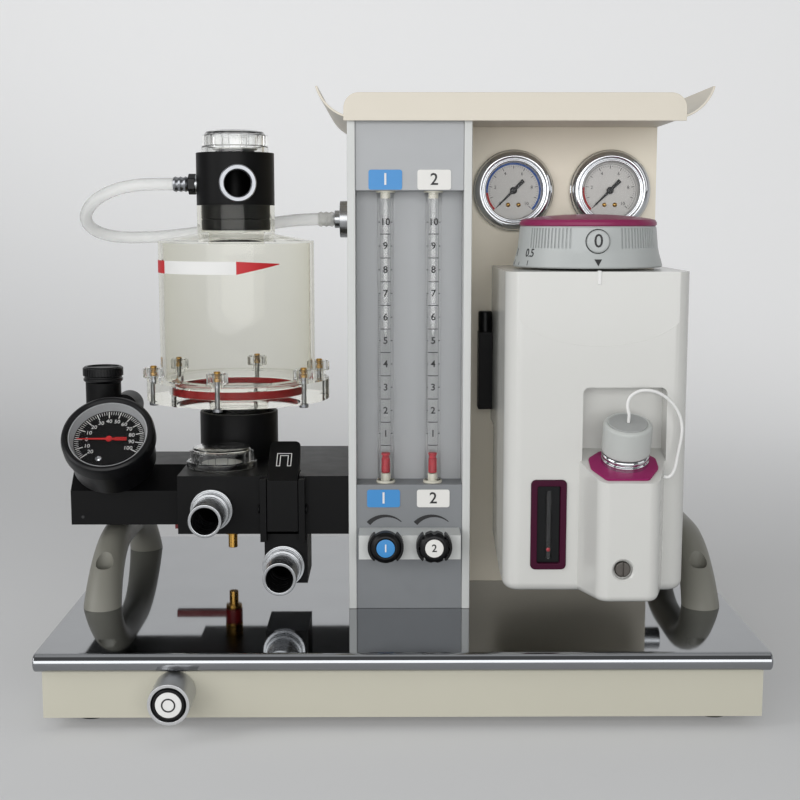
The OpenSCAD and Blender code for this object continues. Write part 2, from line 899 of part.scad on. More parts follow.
module shelf() {
  color("#DED7CB") translate([shelf_mid_x, 0, 0]) {
    box(-shelf_half, shelf_half, shelf_front + shelf_t / 2, shelf_back, column_top,
        column_top + shelf_t);
    wing();
    mirror([1, 0, 0]) wing();
    translate([0, shelf_front + shelf_t, column_top]) rotate([round_quarter, 0, 0])
      linear_extrude(shelf_t) {
        translate([-shelf_lip_half, -shelf_lip_drop])
          square([2 * shelf_lip_half, shelf_lip_drop + shelf_lip - shelf_lip_r]);
        translate([shelf_lip_r - shelf_lip_half, -shelf_lip_drop])
          square([2 * (shelf_lip_half - shelf_lip_r), shelf_lip_drop + shelf_lip]);
        intersection() {
          translate([-shelf_lip_half, 0]) square([2 * shelf_lip_half, shelf_lip + over]);
          for (x = [shelf_lip_r - shelf_lip_half, shelf_lip_half - shelf_lip_r])
            translate([x, shelf_lip - shelf_lip_r]) circle(r = shelf_lip_r);
        }
      }
  }
}

module gas_fittings() {
  color("#B9BCC0") {
    for (x = inlet_x) difference() {
      union() {
        rod_y(x, column_back, column_back + inlet_collar_len, tray_z + inlet_lift,
              inlet_collar_r);
        rod_y(x, column_back - inlet_collar_len, column_back + inlet_len, tray_z + inlet_lift,
              inlet_r);
      }
      rod_y(x, column_back - inlet_collar_len - over, column_back + inlet_len + over,
            tray_z + inlet_lift, inlet_r / 2);
    }
    difference() {
      union() {
        rod_x(column_right, column_right + outlet_len, outlet_y, tray_z + outlet_lift, outlet_r);
        rod_x(column_right - inlet_collar_len, column_right + over, outlet_y,
              tray_z + outlet_lift, outlet_bore_r);
      }
      rod_x(column_right - 2 * inlet_collar_len, column_right + outlet_len + over, outlet_y,
            tray_z + outlet_lift, outlet_bore_r / 2);
    }
    rod_x(stack_left - wall_fit_len, stack_left, wall_fit_y, hose_end_z, wall_fit_r);
    rod_x(stack_left - wall_fit_len - barb_nut_len, stack_left + inlet_collar_len, wall_fit_y,
          hose_end_z, barb_nut_r);
    rod_x(hose_end_x, stack_left, wall_fit_y, hose_end_z, barb_r);
    rod_x(can_x - head_r - head_nut_len, can_x - head_r + over, can_y, hose_start_z, barb_nut_r);
    rod_x(hose_start_x, can_x - head_r, can_y, hose_start_z, barb_r);
    rod_z(vap_left - mount_w / 2, column_front - mount_deep / 2, mount_z0 + mount_h,
          mount_z0 + mount_h + mount_fit_h, mount_fit_r);
  }
}

module flowmeter_housing() {
  color("#E6E6E4") {
    box(stack_left, flow_in_left, flow_front, column_front, tray_z, column_top);
    box(flow_in_right, flow_right, flow_front, column_front, tray_z, column_top);
    box(flow_in_left, flow_in_right, flow_inner_back, column_front, tray_z, column_top);
  }
}

module flowmeter_panel() {
  color("#B0B3B8") {
    box(flow_in_left, flow_in_right, flow_block_front, flow_inner_back, tray_z, flow_block_z);
    box(flow_in_left, flow_in_right, flow_head_front, flow_inner_back, flow_head_z, column_top);
    box(flow_in_left, flow_in_right, scale_front, scale_front + scale_t, flow_block_z - over,
        flow_head_z + over);
  }
}

module knob_panel() {
  color("#E4E4E2") difference() {
    box(panel_left, panel_right, panel_front, flow_block_front, panel_z0, panel_z1);
    for (x = tube_x)
      rod_y(x, panel_front - over, panel_front + spindle_len, knob_z, spindle_r + running);
  }
}

module knob_guards() {
  color("#1F1F22")
    for (x = tube_x)
      for (side = [0, half_turn])
        facing(x, panel_front, knob_z) rotate([0, 0, side - guard_sweep / 2])
          rotate_extrude(angle = guard_sweep) translate([guard_in_r, 0])
            square([guard_t, guard_len]);
}

module flow_tubes() {
  color("#DDE3E4", 0.5)
    for (x = tube_x) difference() {
      rod_z(x, tube_y, flow_block_z, flow_head_z, tube_r);
      rod_z(x, tube_y, flow_block_z - over, flow_head_z + over, tube_bore_r);
    }
}

module tube_seals() {
  color("#9B9DA0")
    for (x = tube_x) {
      for (z = [flow_block_z, flow_head_z - seal_h]) difference() {
        rod_z(x, tube_y, z, z + seal_h, seal_r);
        rod_z(x, tube_y, z - over, z + seal_h + over, tube_r + running);
      }
      rod_z(x, tube_y, flow_block_z, flow_block_z + stub_h, stub_r);
    }
}

module float(x) {
  color("#A51E32") rod_z(x, tube_y, float_z, float_z + float_len, float_r);
}

module n2o_float() {
  float(tube_x[0]);
}

module o2_float() {
  float(tube_x[1]);
}

module n2o_knob() {
  color("#26262A") {
    rod_y(tube_x[0], knob_back_y - knob_len, knob_back_y, knob_z, knob_r);
    rod_y(tube_x[0], knob_back_y - over, panel_front + spindle_len - over, knob_z, spindle_r);
  }
}

module o2_knob() {
  color("#26262A") {
    difference() {
      rod_y(tube_x[1], knob_back_y - knob_len, knob_back_y, knob_z, knob_r);
      for (k = [0 : flute_count - 1])
        let (a = (k + 0.5) * 360 / flute_count)
          rod_y(tube_x[1] + (knob_r + 0.5) * cos(a), knob_back_y - knob_len - over,
                knob_back_y + over, knob_z + (knob_r + 0.5) * sin(a), flute_r);
    }
    rod_y(tube_x[1], knob_back_y - over, panel_front + spindle_len - over, knob_z, spindle_r);
  }
}

module gauge_cases() {
  color("#C9CCD0")
    for (x = gauge_x) facing(x, column_front, gauge_z) {
      difference() {
        cylinder(h = gauge_depth, r = gauge_r);
        translate([0, 0, gauge_back_t]) cylinder(h = gauge_depth, r = gauge_bore_r);
      }
      translate([0, 0, -gauge_stem_len]) cylinder(h = gauge_stem_len + over, r = gauge_stem_r);
    }
}

module gauge_dials() {
  color("#F0F0EC") {
    for (x = gauge_x) facing(x, column_front, gauge_z) translate([0, 0, gauge_back_t]) {
      cylinder(h = dial_t, r = gauge_bore_r);
      hand_pin();
    }
    manometer_frame() translate([0, 0, man_dial_z]) {
      cylinder(h = dial_t, r = man_bore_r);
      hand_pin();
    }
  }
}

module gauge_lenses() {
  color("#E8F0F0", 0.3) {
    for (x = gauge_x) facing(x, column_front, gauge_z)
      translate([0, 0, lens_z]) cylinder(h = lens_t, r = gauge_bore_r);
    manometer_frame() translate([0, 0, man_case_z + manometer_deep - lens_t - over])
      cylinder(h = lens_t, r = man_bore_r);
  }
}

module left_gauge_pointer() {
  color("#1A1A1C") facing(gauge_x[0], column_front, gauge_z) translate([0, 0, pointer_z])
    hand(pointer_reach, pointer_tail, pointer_rest);
}

module right_gauge_pointer() {
  color("#1A1A1C") facing(gauge_x[1], column_front, gauge_z) translate([0, 0, pointer_z])
    hand(pointer_reach, pointer_tail, pointer_rest);
}

// side view of the vaporizer body: rounded lower front edge, sloping underside, stepped back
module vaporizer_side() {
  under_slope = vap_under_rise / vap_under_len;
  difference() {
    union() {
      translate([vap_front + vap_edge, vap_z0])
        square([vap_rear_y - vap_front - vap_edge, vap_h]);
      translate([vap_front, vap_z0 + vap_edge])
        square([vap_rear_y - vap_front, vap_h - vap_edge]);
      translate([vap_front + vap_edge, vap_z0 + vap_edge]) circle(r = vap_edge);
    }
    polygon([
      [vap_rear_y - vap_under_len - over, vap_z0 - over * under_slope],
      [vap_rear_y + over, vap_z0 - over],
      [vap_rear_y + over, vap_z0 + vap_under_rise + over * under_slope]]);
  }
  translate([vap_front, vap_rear_z])
    square([column_front - vap_front, vap_z1 - vap_rear_z]);
}

module filler_plan() {
  polygon([
    [filler_x - filler_half_back, vap_front + over], [filler_x - filler_half_back, vap_front],
    [filler_x - filler_half_front, filler_front], [filler_x + filler_half_front, filler_front],
    [filler_x + filler_half_back, vap_front], [filler_x + filler_half_back, vap_front + over]]);
}

module vaporizer_cover() {
  color("#E2E3E0") difference() {
    union() {
      intersection() {
        translate([0, 0, vap_z0]) linear_extrude(vap_h)
          round_plan(vap_left, vap_right, vap_front, column_front + 2 * vap_edge, vap_edge);
        translate([vap_left - over, 0, 0]) rotate([round_quarter, 0, round_quarter])
          linear_extrude(vap_w + 2 * over) vaporizer_side();
      }
      difference() {
        translate([0, 0, filler_z0]) linear_extrude(recess_top - filler_z0) filler_plan();
        filler_frame() translate([-slope_len, -slope_len, 0])
          cube([2 * slope_len, 2 * slope_len, 2 * slope_len]);
      }
      rod_z(dial_x, dial_y, vap_z1 - over, vap_z1 + boss_h, boss_r);
    }
    intersection() {
      box(filler_x - recess_half, filler_x + recess_half, vap_front - over,
          vap_front + recess_deep, filler_z0, recess_top);
      filler_frame() translate([-slope_len, -slope_len, 0])
        cube([2 * slope_len, 2 * slope_len, 2 * slope_len]);
    }
    filler_frame() translate([0, 0, -neck_root])
      cylinder(h = neck_root + over, r = neck_tube_r + hole_gap);
    rod_y(drain_x, filler_front - over, filler_front + drain_pocket_deep, drain_z,
          drain_pocket_r);
    rod_y(drain_x, filler_front, filler_front + drain_pocket_deep + drain_stem_len, drain_z,
          drain_stem_r + running);
    box(sight_x0, sight_x0 + sight_w, vap_front - over, vap_front + sight_deep, sight_z0,
        sight_z0 + sight_h);
  }
}

module vaporizer_trim() {
  color("#6E1F49") {
    filler_frame() linear_extrude(trim_t) difference() {
      polygon([
        [-trim_nose_half, trim_nose_y], [trim_nose_half, trim_nose_y], [trim_half, trim_mid_y],
        [trim_half, trim_back_y], [-trim_half, trim_back_y], [-trim_half, trim_mid_y]]);
      circle(r = neck_flange_r + trim_gap);
    }
    difference() {
      box(sight_x0, sight_x0 + sight_w, vap_front - sight_proud, vap_front + sight_deep,
          sight_z0, sight_z0 + sight_h);
      box(sight_x0 + sight_frame, sight_x0 + sight_w - sight_frame, vap_front - sight_proud - over,
          vap_front + sight_deep - over, sight_z0 + sight_frame,
          sight_z0 + sight_h - sight_frame);
    }
  }
}

module sight_glass() {
  color("#3A3D40", 0.8)
    box(sight_x0 + sight_frame, sight_x0 + sight_w - sight_frame,
        vap_front + sight_deep - over - window_t, vap_front + sight_deep - over,
        sight_z0 + sight_frame, sight_z0 + sight_h - sight_frame);
}

module filler_neck() {
  color("#C9CCD0") filler_frame() difference() {
    union() {
      cylinder(h = neck_t, r = neck_flange_r);
      translate([0, 0, -neck_root]) cylinder(h = neck_root + neck_t + neck_tube_len,
                                             r = neck_tube_r);
    }
    translate([0, 0, over - neck_root])
      cylinder(h = neck_root + neck_t + neck_tube_len, r = neck_bore_r);
  }
}

module filler_cap() {
  color("#DCDDDA") filler_frame() translate([0, 0, cap_from]) difference() {
    cylinder(h = cap_len, r = cap_r);
    translate([0, 0, -over]) cylinder(h = cap_bore_len + over, r = neck_tube_r + running);
  }
}

module cap_tether() {
  color("#F2F2F0") swept(laid(tether_path, 2), tether_r, tether_sides, [1, 0, 0]);
}

module vaporizer_mount() {
  color("#232326")
    box(vap_left - mount_w, vap_left, column_front - mount_deep, column_front, mount_z0,
        mount_z0 + mount_h);
}

module drain_screw() {
  color("#8E9196") difference() {
    union() {
      rod_y(drain_x, filler_front + drain_pocket_deep - free_gap - drain_head_t,
            filler_front + drain_pocket_deep - free_gap, drain_z, drain_head_r);
      rod_y(drain_x, filler_front + drain_pocket_deep - over,
            filler_front + drain_pocket_deep + drain_stem_len - over, drain_z, drain_stem_r);
    }
    box(drain_x - drain_slot / 2, drain_x + drain_slot / 2, filler_front - over,
        filler_front + drain_pocket_deep - drain_head_t + over, drain_z - drain_head_r - over,
        drain_z + drain_head_r + over);
  }
}

module dial_ring() {
  color("#CDD2D4") difference() {
    translate([dial_x, dial_y, dial_z0]) cylinder(h = dial_h, r1 = dial_r,
                                                   r2 = dial_r - dial_taper);
    rod_z(dial_x, dial_y, dial_z0 - over, vap_z1 + boss_h + boss_play, boss_r + running);
    rod_y(dial_x, dial_y - 2 * dial_r, zero_front_y + zero_proud + zero_pocket, zero_z,
          zero_r + free_gap);
    rod_y(dial_x, dial_y - 2 * dial_r, zero_front_y + zero_len + zero_stem_len + zero_travel + over,
          zero_z, zero_stem_r + running);
  }
}

module dial_cap() {
  color("#A53273") translate([dial_x, dial_y, dial_z1]) {
    cylinder(h = dial_cap_step, r1 = dial_cap_r, r2 = dial_cap_mid_r);
    translate([0, 0, dial_cap_step])
      cylinder(h = dial_cap_h - dial_cap_step, r1 = dial_cap_mid_r, r2 = dial_cap_top_r);
  }
}

module zero_button() {
  color("#C4C9CC") {
    rod_y(dial_x, zero_front_y, zero_front_y + zero_len, zero_z, zero_r);
    rod_y(dial_x, zero_front_y + zero_len - over, zero_front_y + zero_len + zero_stem_len, zero_z,
          zero_stem_r);
  }
}

module manifold_bar() {
  color("#27272A") {
    difference() {
      box(bar_left, in_left, bar_front, bar_back, man_z0, man_z1);
      translate([bar_left - over, bar_front, man_z1 - bar_chamfer]) rotate([man_tilt, 0, 0])
        cube([bar_w + over, 2 * bar_chamfer, 2 * bar_chamfer]);
    }
    difference() {
      union() {
        box(in_left, ex_left, manifold_front, block_back, man_z0, man_z1);
        rod_z(dome_x, dome_y, man_z1 - over, man_z1 + seat_h, seat_r);
      }
      rod_y(port_x, manifold_front - over, manifold_front + gas_way_deep, port_z, port_bore_r);
      rod_z(dome_x, dome_y, port_z, man_z1 + seat_h + over, seat_bore_r);
    }
  }
}

module expiratory_block() {
  color("#27272A") {
    difference() {
      box(ex_left, stack_left, manifold_front, block_back, man_z0, man_z1);
      box(slot_x0, slot_x1, manifold_front - over, slot_back, man_z0 - over, man_z1 + over);
    }
    difference() {
      box(bag_x0, bag_x1, manifold_front, bag_back, man_z0 - bag_h, man_z0);
      rod_y(bag_port_x, manifold_front - over, manifold_front + gas_way_deep, bag_port_z,
            port_bore_r);
    }
    for (x = [slot_x0 - cheek_t, slot_x1]) difference() {
      box(x, x + cheek_t, manifold_front - cheek_out, manifold_front, cheek_z0, cheek_z1);
      rod_x(x - over, x + cheek_t + over, lever_y, lever_z, lever_pin_r + hole_gap);
    }
  }
}

module lever_side() {
  polygon([
    [lever_front, lever_foot_z], [lever_front, lever_nose_z], [lever_top_y, lever_top_z],
    [lever_top_y, lever_top_z - lever_t], [lever_back, lever_nose_z - lever_t / 2],
    [lever_back, lever_foot_z]]);
}

module selector_lever() {
  color("#2C2C30") {
    translate([slot_x0 + free_gap, 0, 0]) rotate([round_quarter, 0, round_quarter])
      linear_extrude(slot_x1 - slot_x0 - 2 * free_gap) lever_side();
    rod_x(slot_x0 - cheek_t - free_gap, slot_x1 + cheek_t + free_gap, lever_y, lever_z,
          lever_pin_r);
    for (x = [slot_x0 - cheek_t - free_gap - lever_pin_head_t, slot_x1 + cheek_t + free_gap])
      rod_x(x, x + lever_pin_head_t, lever_y, lever_z, lever_pin_head_r);
  }
}

// stepped hose connector facing the front
module port(x, z) {
  difference() {
    union() {
      rod_y(x, manifold_front - port_len, manifold_front, z, port_r);
      rod_y(x, manifold_front - port_flange_t - port_step_t, manifold_front, z, port_step_r);
      rod_y(x, manifold_front - port_flange_t, manifold_front, z, port_flange_r);
    }
    rod_y(x, manifold_front - port_len - over, manifold_front + over, z, port_bore_r);
  }
}

module breathing_ports() {
  color("#C3C6C9") {
    port(port_x, port_z);
    port(bag_port_x, bag_port_z);
  }
}

module manometer_case() {
  color("#202023") manometer_frame() difference() {
    union() {
      cylinder(h = man_case_z + over, r = man_stem_r);
      translate([0, 0, man_case_z]) cylinder(h = manometer_deep, r = manometer_r);
    }
    translate([0, 0, man_dial_z]) cylinder(h = man_bore_deep + over, r = man_bore_r);
  }
}

module manometer_pointer() {
  color("#D3282C") manometer_frame() translate([0, 0, man_pointer_z])
    hand(man_pointer_reach, man_pointer_tail, man_pointer_rest);
}

module apl_body() {
  color("#232326") {
    rod_z(apl_x, apl_y, man_z1, man_z1 + apl_neck_h, apl_r);
    rod_z(apl_x, apl_y, man_z1 + apl_neck_h - over, man_z1 + apl_neck_h + apl_stem_h, apl_stem_r);
    rod_y(apl_arm_x, apl_y, apl_y + apl_arm_len, apl_arm_z, apl_arm_r);
  }
}

module apl_knob() {
  color("#1C1C1F") translate([apl_x, apl_y, man_z1 + apl_neck_h + apl_cap_gap]) difference() {
    cylinder(h = apl_cap_h, r = apl_cap_r);
    translate([0, 0, -over]) cylinder(h = apl_stem_h + over, r = apl_stem_r + running);
  }
}

// hollow clear valve dome standing on a flat face
module dome(x, y, z, r, step_r, h) {
  translate([x, y, z]) difference() {
    union() {
      cylinder(h = dome_flange_h, r = r);
      cylinder(h = h, r1 = step_r, r2 = step_r - over);
    }
    translate([0, 0, -over]) cylinder(h = h - dome_wall + over, r = step_r - over - dome_wall);
  }
}

module valve_domes() {
  color("#E9EDEC", 0.4) {
    dome(dome_x, dome_y, man_z1, dome_r, dome_step_r, dome_h);
    dome(can_x, can_y, head_z1, head_dome_r, head_dome_step_r, head_dome_h);
  }
}

module inspiratory_disc() {
  color("#D8D8D0") rod_z(dome_x, dome_y, man_z1 + seat_h + free_gap,
                         man_z1 + seat_h + free_gap + disc_t, disc_r);
}

module expiratory_disc() {
  color("#D8D8D0") rod_z(can_x, can_y, head_z1 + seat_h + free_gap,
                         head_z1 + seat_h + free_gap + disc_t, head_disc_r);
}

module drain_valve() {
  z_nut = man_z0 - nut_h;
  z_neck = z_nut - drain_neck_h;
  z_collar = z_neck - drain_collar_h;
  color("#A8813F") difference() {
    union() {
      rod_z(drain_valve_x, drain_valve_y, z_nut, man_z0, nut_r);
      rod_z(drain_valve_x, drain_valve_y, z_neck - over, z_nut + over, drain_neck_r);
      rod_z(drain_valve_x, drain_valve_y, z_collar, z_neck, drain_collar_r);
      rod_z(drain_valve_x, drain_valve_y, z_collar - drain_barb_h, z_collar + over, drain_barb_r);
    }
    rod_z(drain_valve_x, drain_valve_y, z_collar - drain_barb_h - over, z_collar, drain_bore_r);
  }
}

module drain_lever() {
  z_hub = man_z0 - nut_h - free_gap - drain_hub_h;
  color("#9E1F24") difference() {
    union() {
      rod_z(drain_valve_x, drain_valve_y, z_hub, z_hub + drain_hub_h, drain_hub_r);
      box(drain_valve_x - drain_arm_len, drain_valve_x, drain_valve_y - drain_arm_w / 2,
          drain_valve_y + drain_arm_w / 2, z_hub + over, z_hub + over + drain_arm_h);
    }
    rod_z(drain_valve_x, drain_valve_y, z_hub - over, z_hub + drain_hub_h + over,
          drain_neck_r + running);
  }
}

module canister_collar() {
  color("#1E1E21") difference() {
    rod_z(can_x, can_y, man_z1, collar_z1, collar_r);
    rod_z(can_x, can_y, man_z1 - over, collar_z1 + over, collar_bore_r);
    rod_z(can_x, can_y, collar_z1 - neck_sink, collar_z1 + over, neck_out_r + hole_gap);
  }
}

module bolt_places() {
  for (k = [0 : bolt_count - 1])
    let (a = bolt_from + k * 360 / bolt_count)
      translate([can_x + bolt_ring * cos(a), can_y + bolt_ring * sin(a), 0]) children();
}

module canister_base() {
  color("#E6E7DC", 0.4) difference() {
    union() {
      rod_z(can_x, can_y, collar_z1 - neck_sink, base_flange_z + over, neck_out_r);
      rod_z(can_x, can_y, base_flange_z, base_flange_z + base_flange_t, base_flange_r);
    }
    rod_z(can_x, can_y, collar_z1 - neck_sink - over, base_flange_z + base_flange_t + over,
          neck_in_r);
    bolt_places() rod_z(0, 0, base_flange_z - over, base_flange_z + base_flange_t + over,
                        bolt_r + hole_gap);
  }
}

module canister_gasket() {
  color("#96231E") difference() {
    rod_z(can_x, can_y, can_z0 - gasket_t, can_z0, gasket_r);
    rod_z(can_x, can_y, can_z0 - gasket_t - over, can_z0 + over, gasket_r - gasket_w);
  }
}

module canister() {
  bore_r = canister_r - canister_wall;
  top = can_z1 + can_roof_t;
  color("#E6E7DC", 0.4) difference() {
    translate([can_x, can_y, 0]) rotate_extrude() polygon([
      [gasket_r - gasket_w, can_z0], [base_flange_r, can_z0],
      [base_flange_r, can_z0 + can_flange_t], [canister_r, can_z0 + can_flange_t],
      [canister_r, top - can_shoulder_drop], [can_neck_r, top + can_shoulder_rise],
      [can_neck_r, top + can_neck_h],
      [can_neck_bore_r, top + can_neck_h], [can_neck_bore_r, can_z1], [bore_r, can_z1],
      [bore_r, can_z0 + can_flange_t], [gasket_r - gasket_w, can_z0 + can_flange_t]]);
    bolt_places() rod_z(0, 0, can_z0 - over, can_z0 + can_flange_t + over, bolt_r + hole_gap);
  }
}

module clamp_knobs() {
  z_top = can_z0 + can_flange_t;
  color("#E3DFC8", 0.7) bolt_places() {
    rod_z(0, 0, z_top, z_top + clamp_neck_h, clamp_neck_r);
    rod_z(0, 0, z_top + clamp_neck_h, z_top + clamp_h, clamp_r);
    rod_z(0, 0, base_flange_z - bolt_head_t, z_top + over, bolt_r);
    rod_z(0, 0, base_flange_z - bolt_head_t, base_flange_z, bolt_head_r);
  }
}

module head_port_frame() {
  translate([can_x, can_y, head_z1 - head_port_drop]) rotate([round_quarter, 0, head_port_turn])
    children();
}

module valve_head() {
  color("#202023") difference() {
    union() {
      rod_z(can_x, can_y, head_z0, head_z1, head_r);
      rod_z(can_x, can_y, head_z1 - over, head_z1 + seat_h, head_seat_r);
      head_port_frame() translate([0, 0, head_r - head_port_sink])
        cylinder(h = head_port_sink + head_port_out, r = head_port_r);
    }
    rod_z(can_x, can_y, head_z0 - over, head_z1 + seat_h + over, head_way_r);
    head_port_frame() cylinder(h = head_r + head_port_out + over, r = head_port_bore_r);
    rod_x(can_x - head_r - over, can_x - head_r + over, can_y, hose_start_z,
          barb_nut_r + hole_gap);
  }
}

module gas_hose() {
  color("#DDE2E1", 0.6) swept(laid(hose_path, 2), hose_r, hose_sides, [0, 0, 1]);
}

base_chassis();
floor_panel();
rubber_feet();
tray_top();
left_handle();
right_handle();
case_screws();
flush_valve();
flush_button();
column_housing();
rear_panel();
shelf();
gas_fittings();
flowmeter_housing();
flowmeter_panel();
knob_panel();
knob_guards();
flow_tubes();
tube_seals();
n2o_float();
o2_float();
n2o_knob();
o2_knob();
gauge_cases();
gauge_dials();
gauge_lenses();
left_gauge_pointer();
right_gauge_pointer();
vaporizer_cover();
vaporizer_trim();
filler_neck();
filler_cap();
cap_tether();
sight_glass();
vaporizer_mount();
drain_screw();
dial_ring();
dial_cap();
zero_button();
manifold_bar();
expiratory_block();
selector_lever();
manometer_case();
manometer_pointer();
apl_body();
apl_knob();
valve_domes();
inspiratory_disc();
expiratory_disc();
valve_head();
breathing_ports();
drain_valve();
drain_lever();
canister_base();
canister_gasket();
canister();
canister_collar();
clamp_knobs();
gas_hose();
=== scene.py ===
"""Looks of the tabletop anesthesia machine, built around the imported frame. Lengths are in mm."""

import json
import math

import bmesh
import bpy
from mathutils import Matrix, Vector

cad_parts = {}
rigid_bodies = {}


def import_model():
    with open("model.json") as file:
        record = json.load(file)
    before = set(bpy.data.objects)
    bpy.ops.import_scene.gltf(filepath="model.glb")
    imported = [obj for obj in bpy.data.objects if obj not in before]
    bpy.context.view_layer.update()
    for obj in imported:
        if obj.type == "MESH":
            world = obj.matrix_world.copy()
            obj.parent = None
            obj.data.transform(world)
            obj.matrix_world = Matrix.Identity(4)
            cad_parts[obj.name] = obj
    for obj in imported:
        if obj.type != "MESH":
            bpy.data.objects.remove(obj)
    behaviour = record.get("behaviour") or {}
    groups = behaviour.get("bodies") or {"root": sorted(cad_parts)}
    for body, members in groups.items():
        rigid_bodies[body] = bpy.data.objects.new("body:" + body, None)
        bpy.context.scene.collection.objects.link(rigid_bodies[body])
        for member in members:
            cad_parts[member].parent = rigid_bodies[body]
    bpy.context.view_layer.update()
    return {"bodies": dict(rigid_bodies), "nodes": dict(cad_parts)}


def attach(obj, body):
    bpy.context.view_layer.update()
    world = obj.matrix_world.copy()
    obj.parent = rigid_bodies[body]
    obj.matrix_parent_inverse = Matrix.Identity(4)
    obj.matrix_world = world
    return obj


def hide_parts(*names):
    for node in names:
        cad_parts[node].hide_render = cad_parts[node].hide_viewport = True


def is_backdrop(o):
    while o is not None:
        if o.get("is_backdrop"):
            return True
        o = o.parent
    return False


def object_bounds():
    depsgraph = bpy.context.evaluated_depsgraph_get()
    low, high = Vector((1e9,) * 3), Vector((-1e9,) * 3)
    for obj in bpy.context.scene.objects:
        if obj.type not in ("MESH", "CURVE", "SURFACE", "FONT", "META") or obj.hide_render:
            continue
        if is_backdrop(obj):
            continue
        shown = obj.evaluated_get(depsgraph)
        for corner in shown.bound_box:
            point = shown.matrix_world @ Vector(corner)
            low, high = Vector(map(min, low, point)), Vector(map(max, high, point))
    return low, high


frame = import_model()

MM = 0.001
ROUND = 64
INK = 0.15
FIGURE_SHARE = 0.7
BODY = "machine"


# Shader kit: sockets that take part in arithmetic, and one way to add any other node

class Wire:
    """An output socket of a finish; arithmetic on it adds Math nodes."""

    def __init__(self, finish, socket):
        self.finish = finish
        self.socket = socket

    def maths(self, operation, first, second):
        return self.finish.node("ShaderNodeMath", {"operation": operation}, {0: first, 1: second})

    def __add__(self, other):
        return self.maths("ADD", self, other)

    def __radd__(self, other):
        return self.maths("ADD", other, self)

    def __sub__(self, other):
        return self.maths("SUBTRACT", self, other)

    def __rsub__(self, other):
        return self.maths("SUBTRACT", other, self)

    def __mul__(self, other):
        return self.maths("MULTIPLY", self, other)

    def __rmul__(self, other):
        return self.maths("MULTIPLY", other, self)

    def __gt__(self, other):
        return self.maths("GREATER_THAN", self, other)


def tint(screen):
    """A colour given as 0 to 255 on screen, as the shader's linear value."""
    def linear(c):
        c /= 255
        return c / 12.92 if c <= 0.04045 else ((c + 0.055) / 1.055) ** 2.4
    return (*(linear(c) for c in screen), 1)


def shaded(colour, share):
    """A darker tone of a colour."""
    return tuple(c * share for c in colour[:3]) + (1,)


class Finish:
    """A procedural material on one Principled shader, patterned by Object coordinates."""

    def __init__(self, name, slot=None, **constants):
        self.material = bpy.data.materials.new(name)
        self.material.use_nodes = True
        self.tree = self.material.node_tree
        self.shader = self.tree.nodes["Principled BSDF"]
        for socket, value in constants.items():
            self.shader.inputs[socket.replace("_", " ")].default_value = value

    def node(self, kind, settings=None, inputs=None, output=0):
        made = self.tree.nodes.new(kind)
        for name, value in (settings or {}).items():
            setattr(made, name, value)
        for name, value in (inputs or {}).items():
            if isinstance(value, Wire):
                self.tree.links.new(value.socket, made.inputs[name])
            else:
                made.inputs[name].default_value = value
        return Wire(self, made.outputs[output])

    def coords(self, scale=(1, 1, 1)):
        place = self.node("ShaderNodeTexCoord", output="Object")
        return self.node("ShaderNodeMapping", {"vector_type": "POINT"},
                         {"Vector": place, "Scale": scale})

    def noise(self, scale, detail=3, stretch=(1, 1, 1), rough=0.5):
        return self.node("ShaderNodeTexNoise", {}, {
            "Vector": self.coords(stretch), "Scale": scale, "Detail": detail, "Roughness": rough})

    def mixed(self, factor, first, second):
        return self.node("ShaderNodeMix", {"data_type": "RGBA"}, {
            0: factor, 6: first, 7: second}, output=2)

    def feed(self, socket, wire):
        self.tree.links.new(wire.socket, self.shader.inputs[socket])

    def gloss(self, pattern, rough, swing):
        """Roughness that swings about its mean with a pattern."""
        self.feed("Roughness", pattern * swing + (rough - swing / 2))

    def bump(self, height, strength, distance):
        self.feed("Normal", self.node("ShaderNodeBump", {}, {
            "Strength": strength, "Distance": distance, "Height": height}))


def speckled(name, slot, screen, shift, rough, swing=0.1, grain=900, bump=0.1, depth=0.0001,
             **constants):
    """Paint, plastic or rubber: slow colour drift, uneven gloss and a fine surface grain."""
    made = Finish(name, slot, **constants)
    colour = tint(screen)
    made.feed("Base Color", made.mixed(made.noise(18, 4), shaded(colour, 1 - shift), colour))
    made.gloss(made.noise(90), rough, swing)
    made.bump(made.noise(grain, 2), bump, depth)
    return made.material


def turned(name, slot, screen, rough, swing, stretch, bump):
    """Machined metal: a stretched grain in its gloss and surface."""
    made = Finish(name, slot, Metallic=1.0)
    colour = tint(screen)
    grain = made.noise(40, 4, stretch, 0.6)
    made.feed("Base Color", made.mixed(made.noise(25), shaded(colour, 0.86), colour))
    made.gloss(grain, rough, swing)
    made.bump(grain, bump, 0.00005)
    return made.material


def clear(name, slot, colour, rough, weight=1.0, ior=1.49, rim=None, **constants):
    """See-through plastic or glass with faint smears; where seen edge on, its colour turns to the rim
    tone, partly its own tint through more material and partly painted edge shade.
    """
    made = Finish(name, slot, Transmission_Weight=weight, IOR=ior, **constants)
    faint = shaded(colour, 0.97)
    # painted edge shade: the colour turns to the rim tone where the surface is seen edge on
    edge = made.node("ShaderNodeLayerWeight", {}, {"Blend": 0.25}, output="Facing")
    made.feed("Base Color", made.mixed(edge, made.mixed(made.noise(30), faint, colour), rim or faint))
    made.feed("Roughness", made.noise(60) * 0.04 + rough)
    return made.material


def film(name, slot, colour, rough, alpha):
    """A thin clear pane: a faint gloss over what is behind it."""
    made = Finish(name, slot, Base_Color=colour)
    made.feed("Alpha", made.noise(35) * 0.05 + alpha)
    made.feed("Roughness", made.noise(60) * 0.04 + rough)
    return made.material


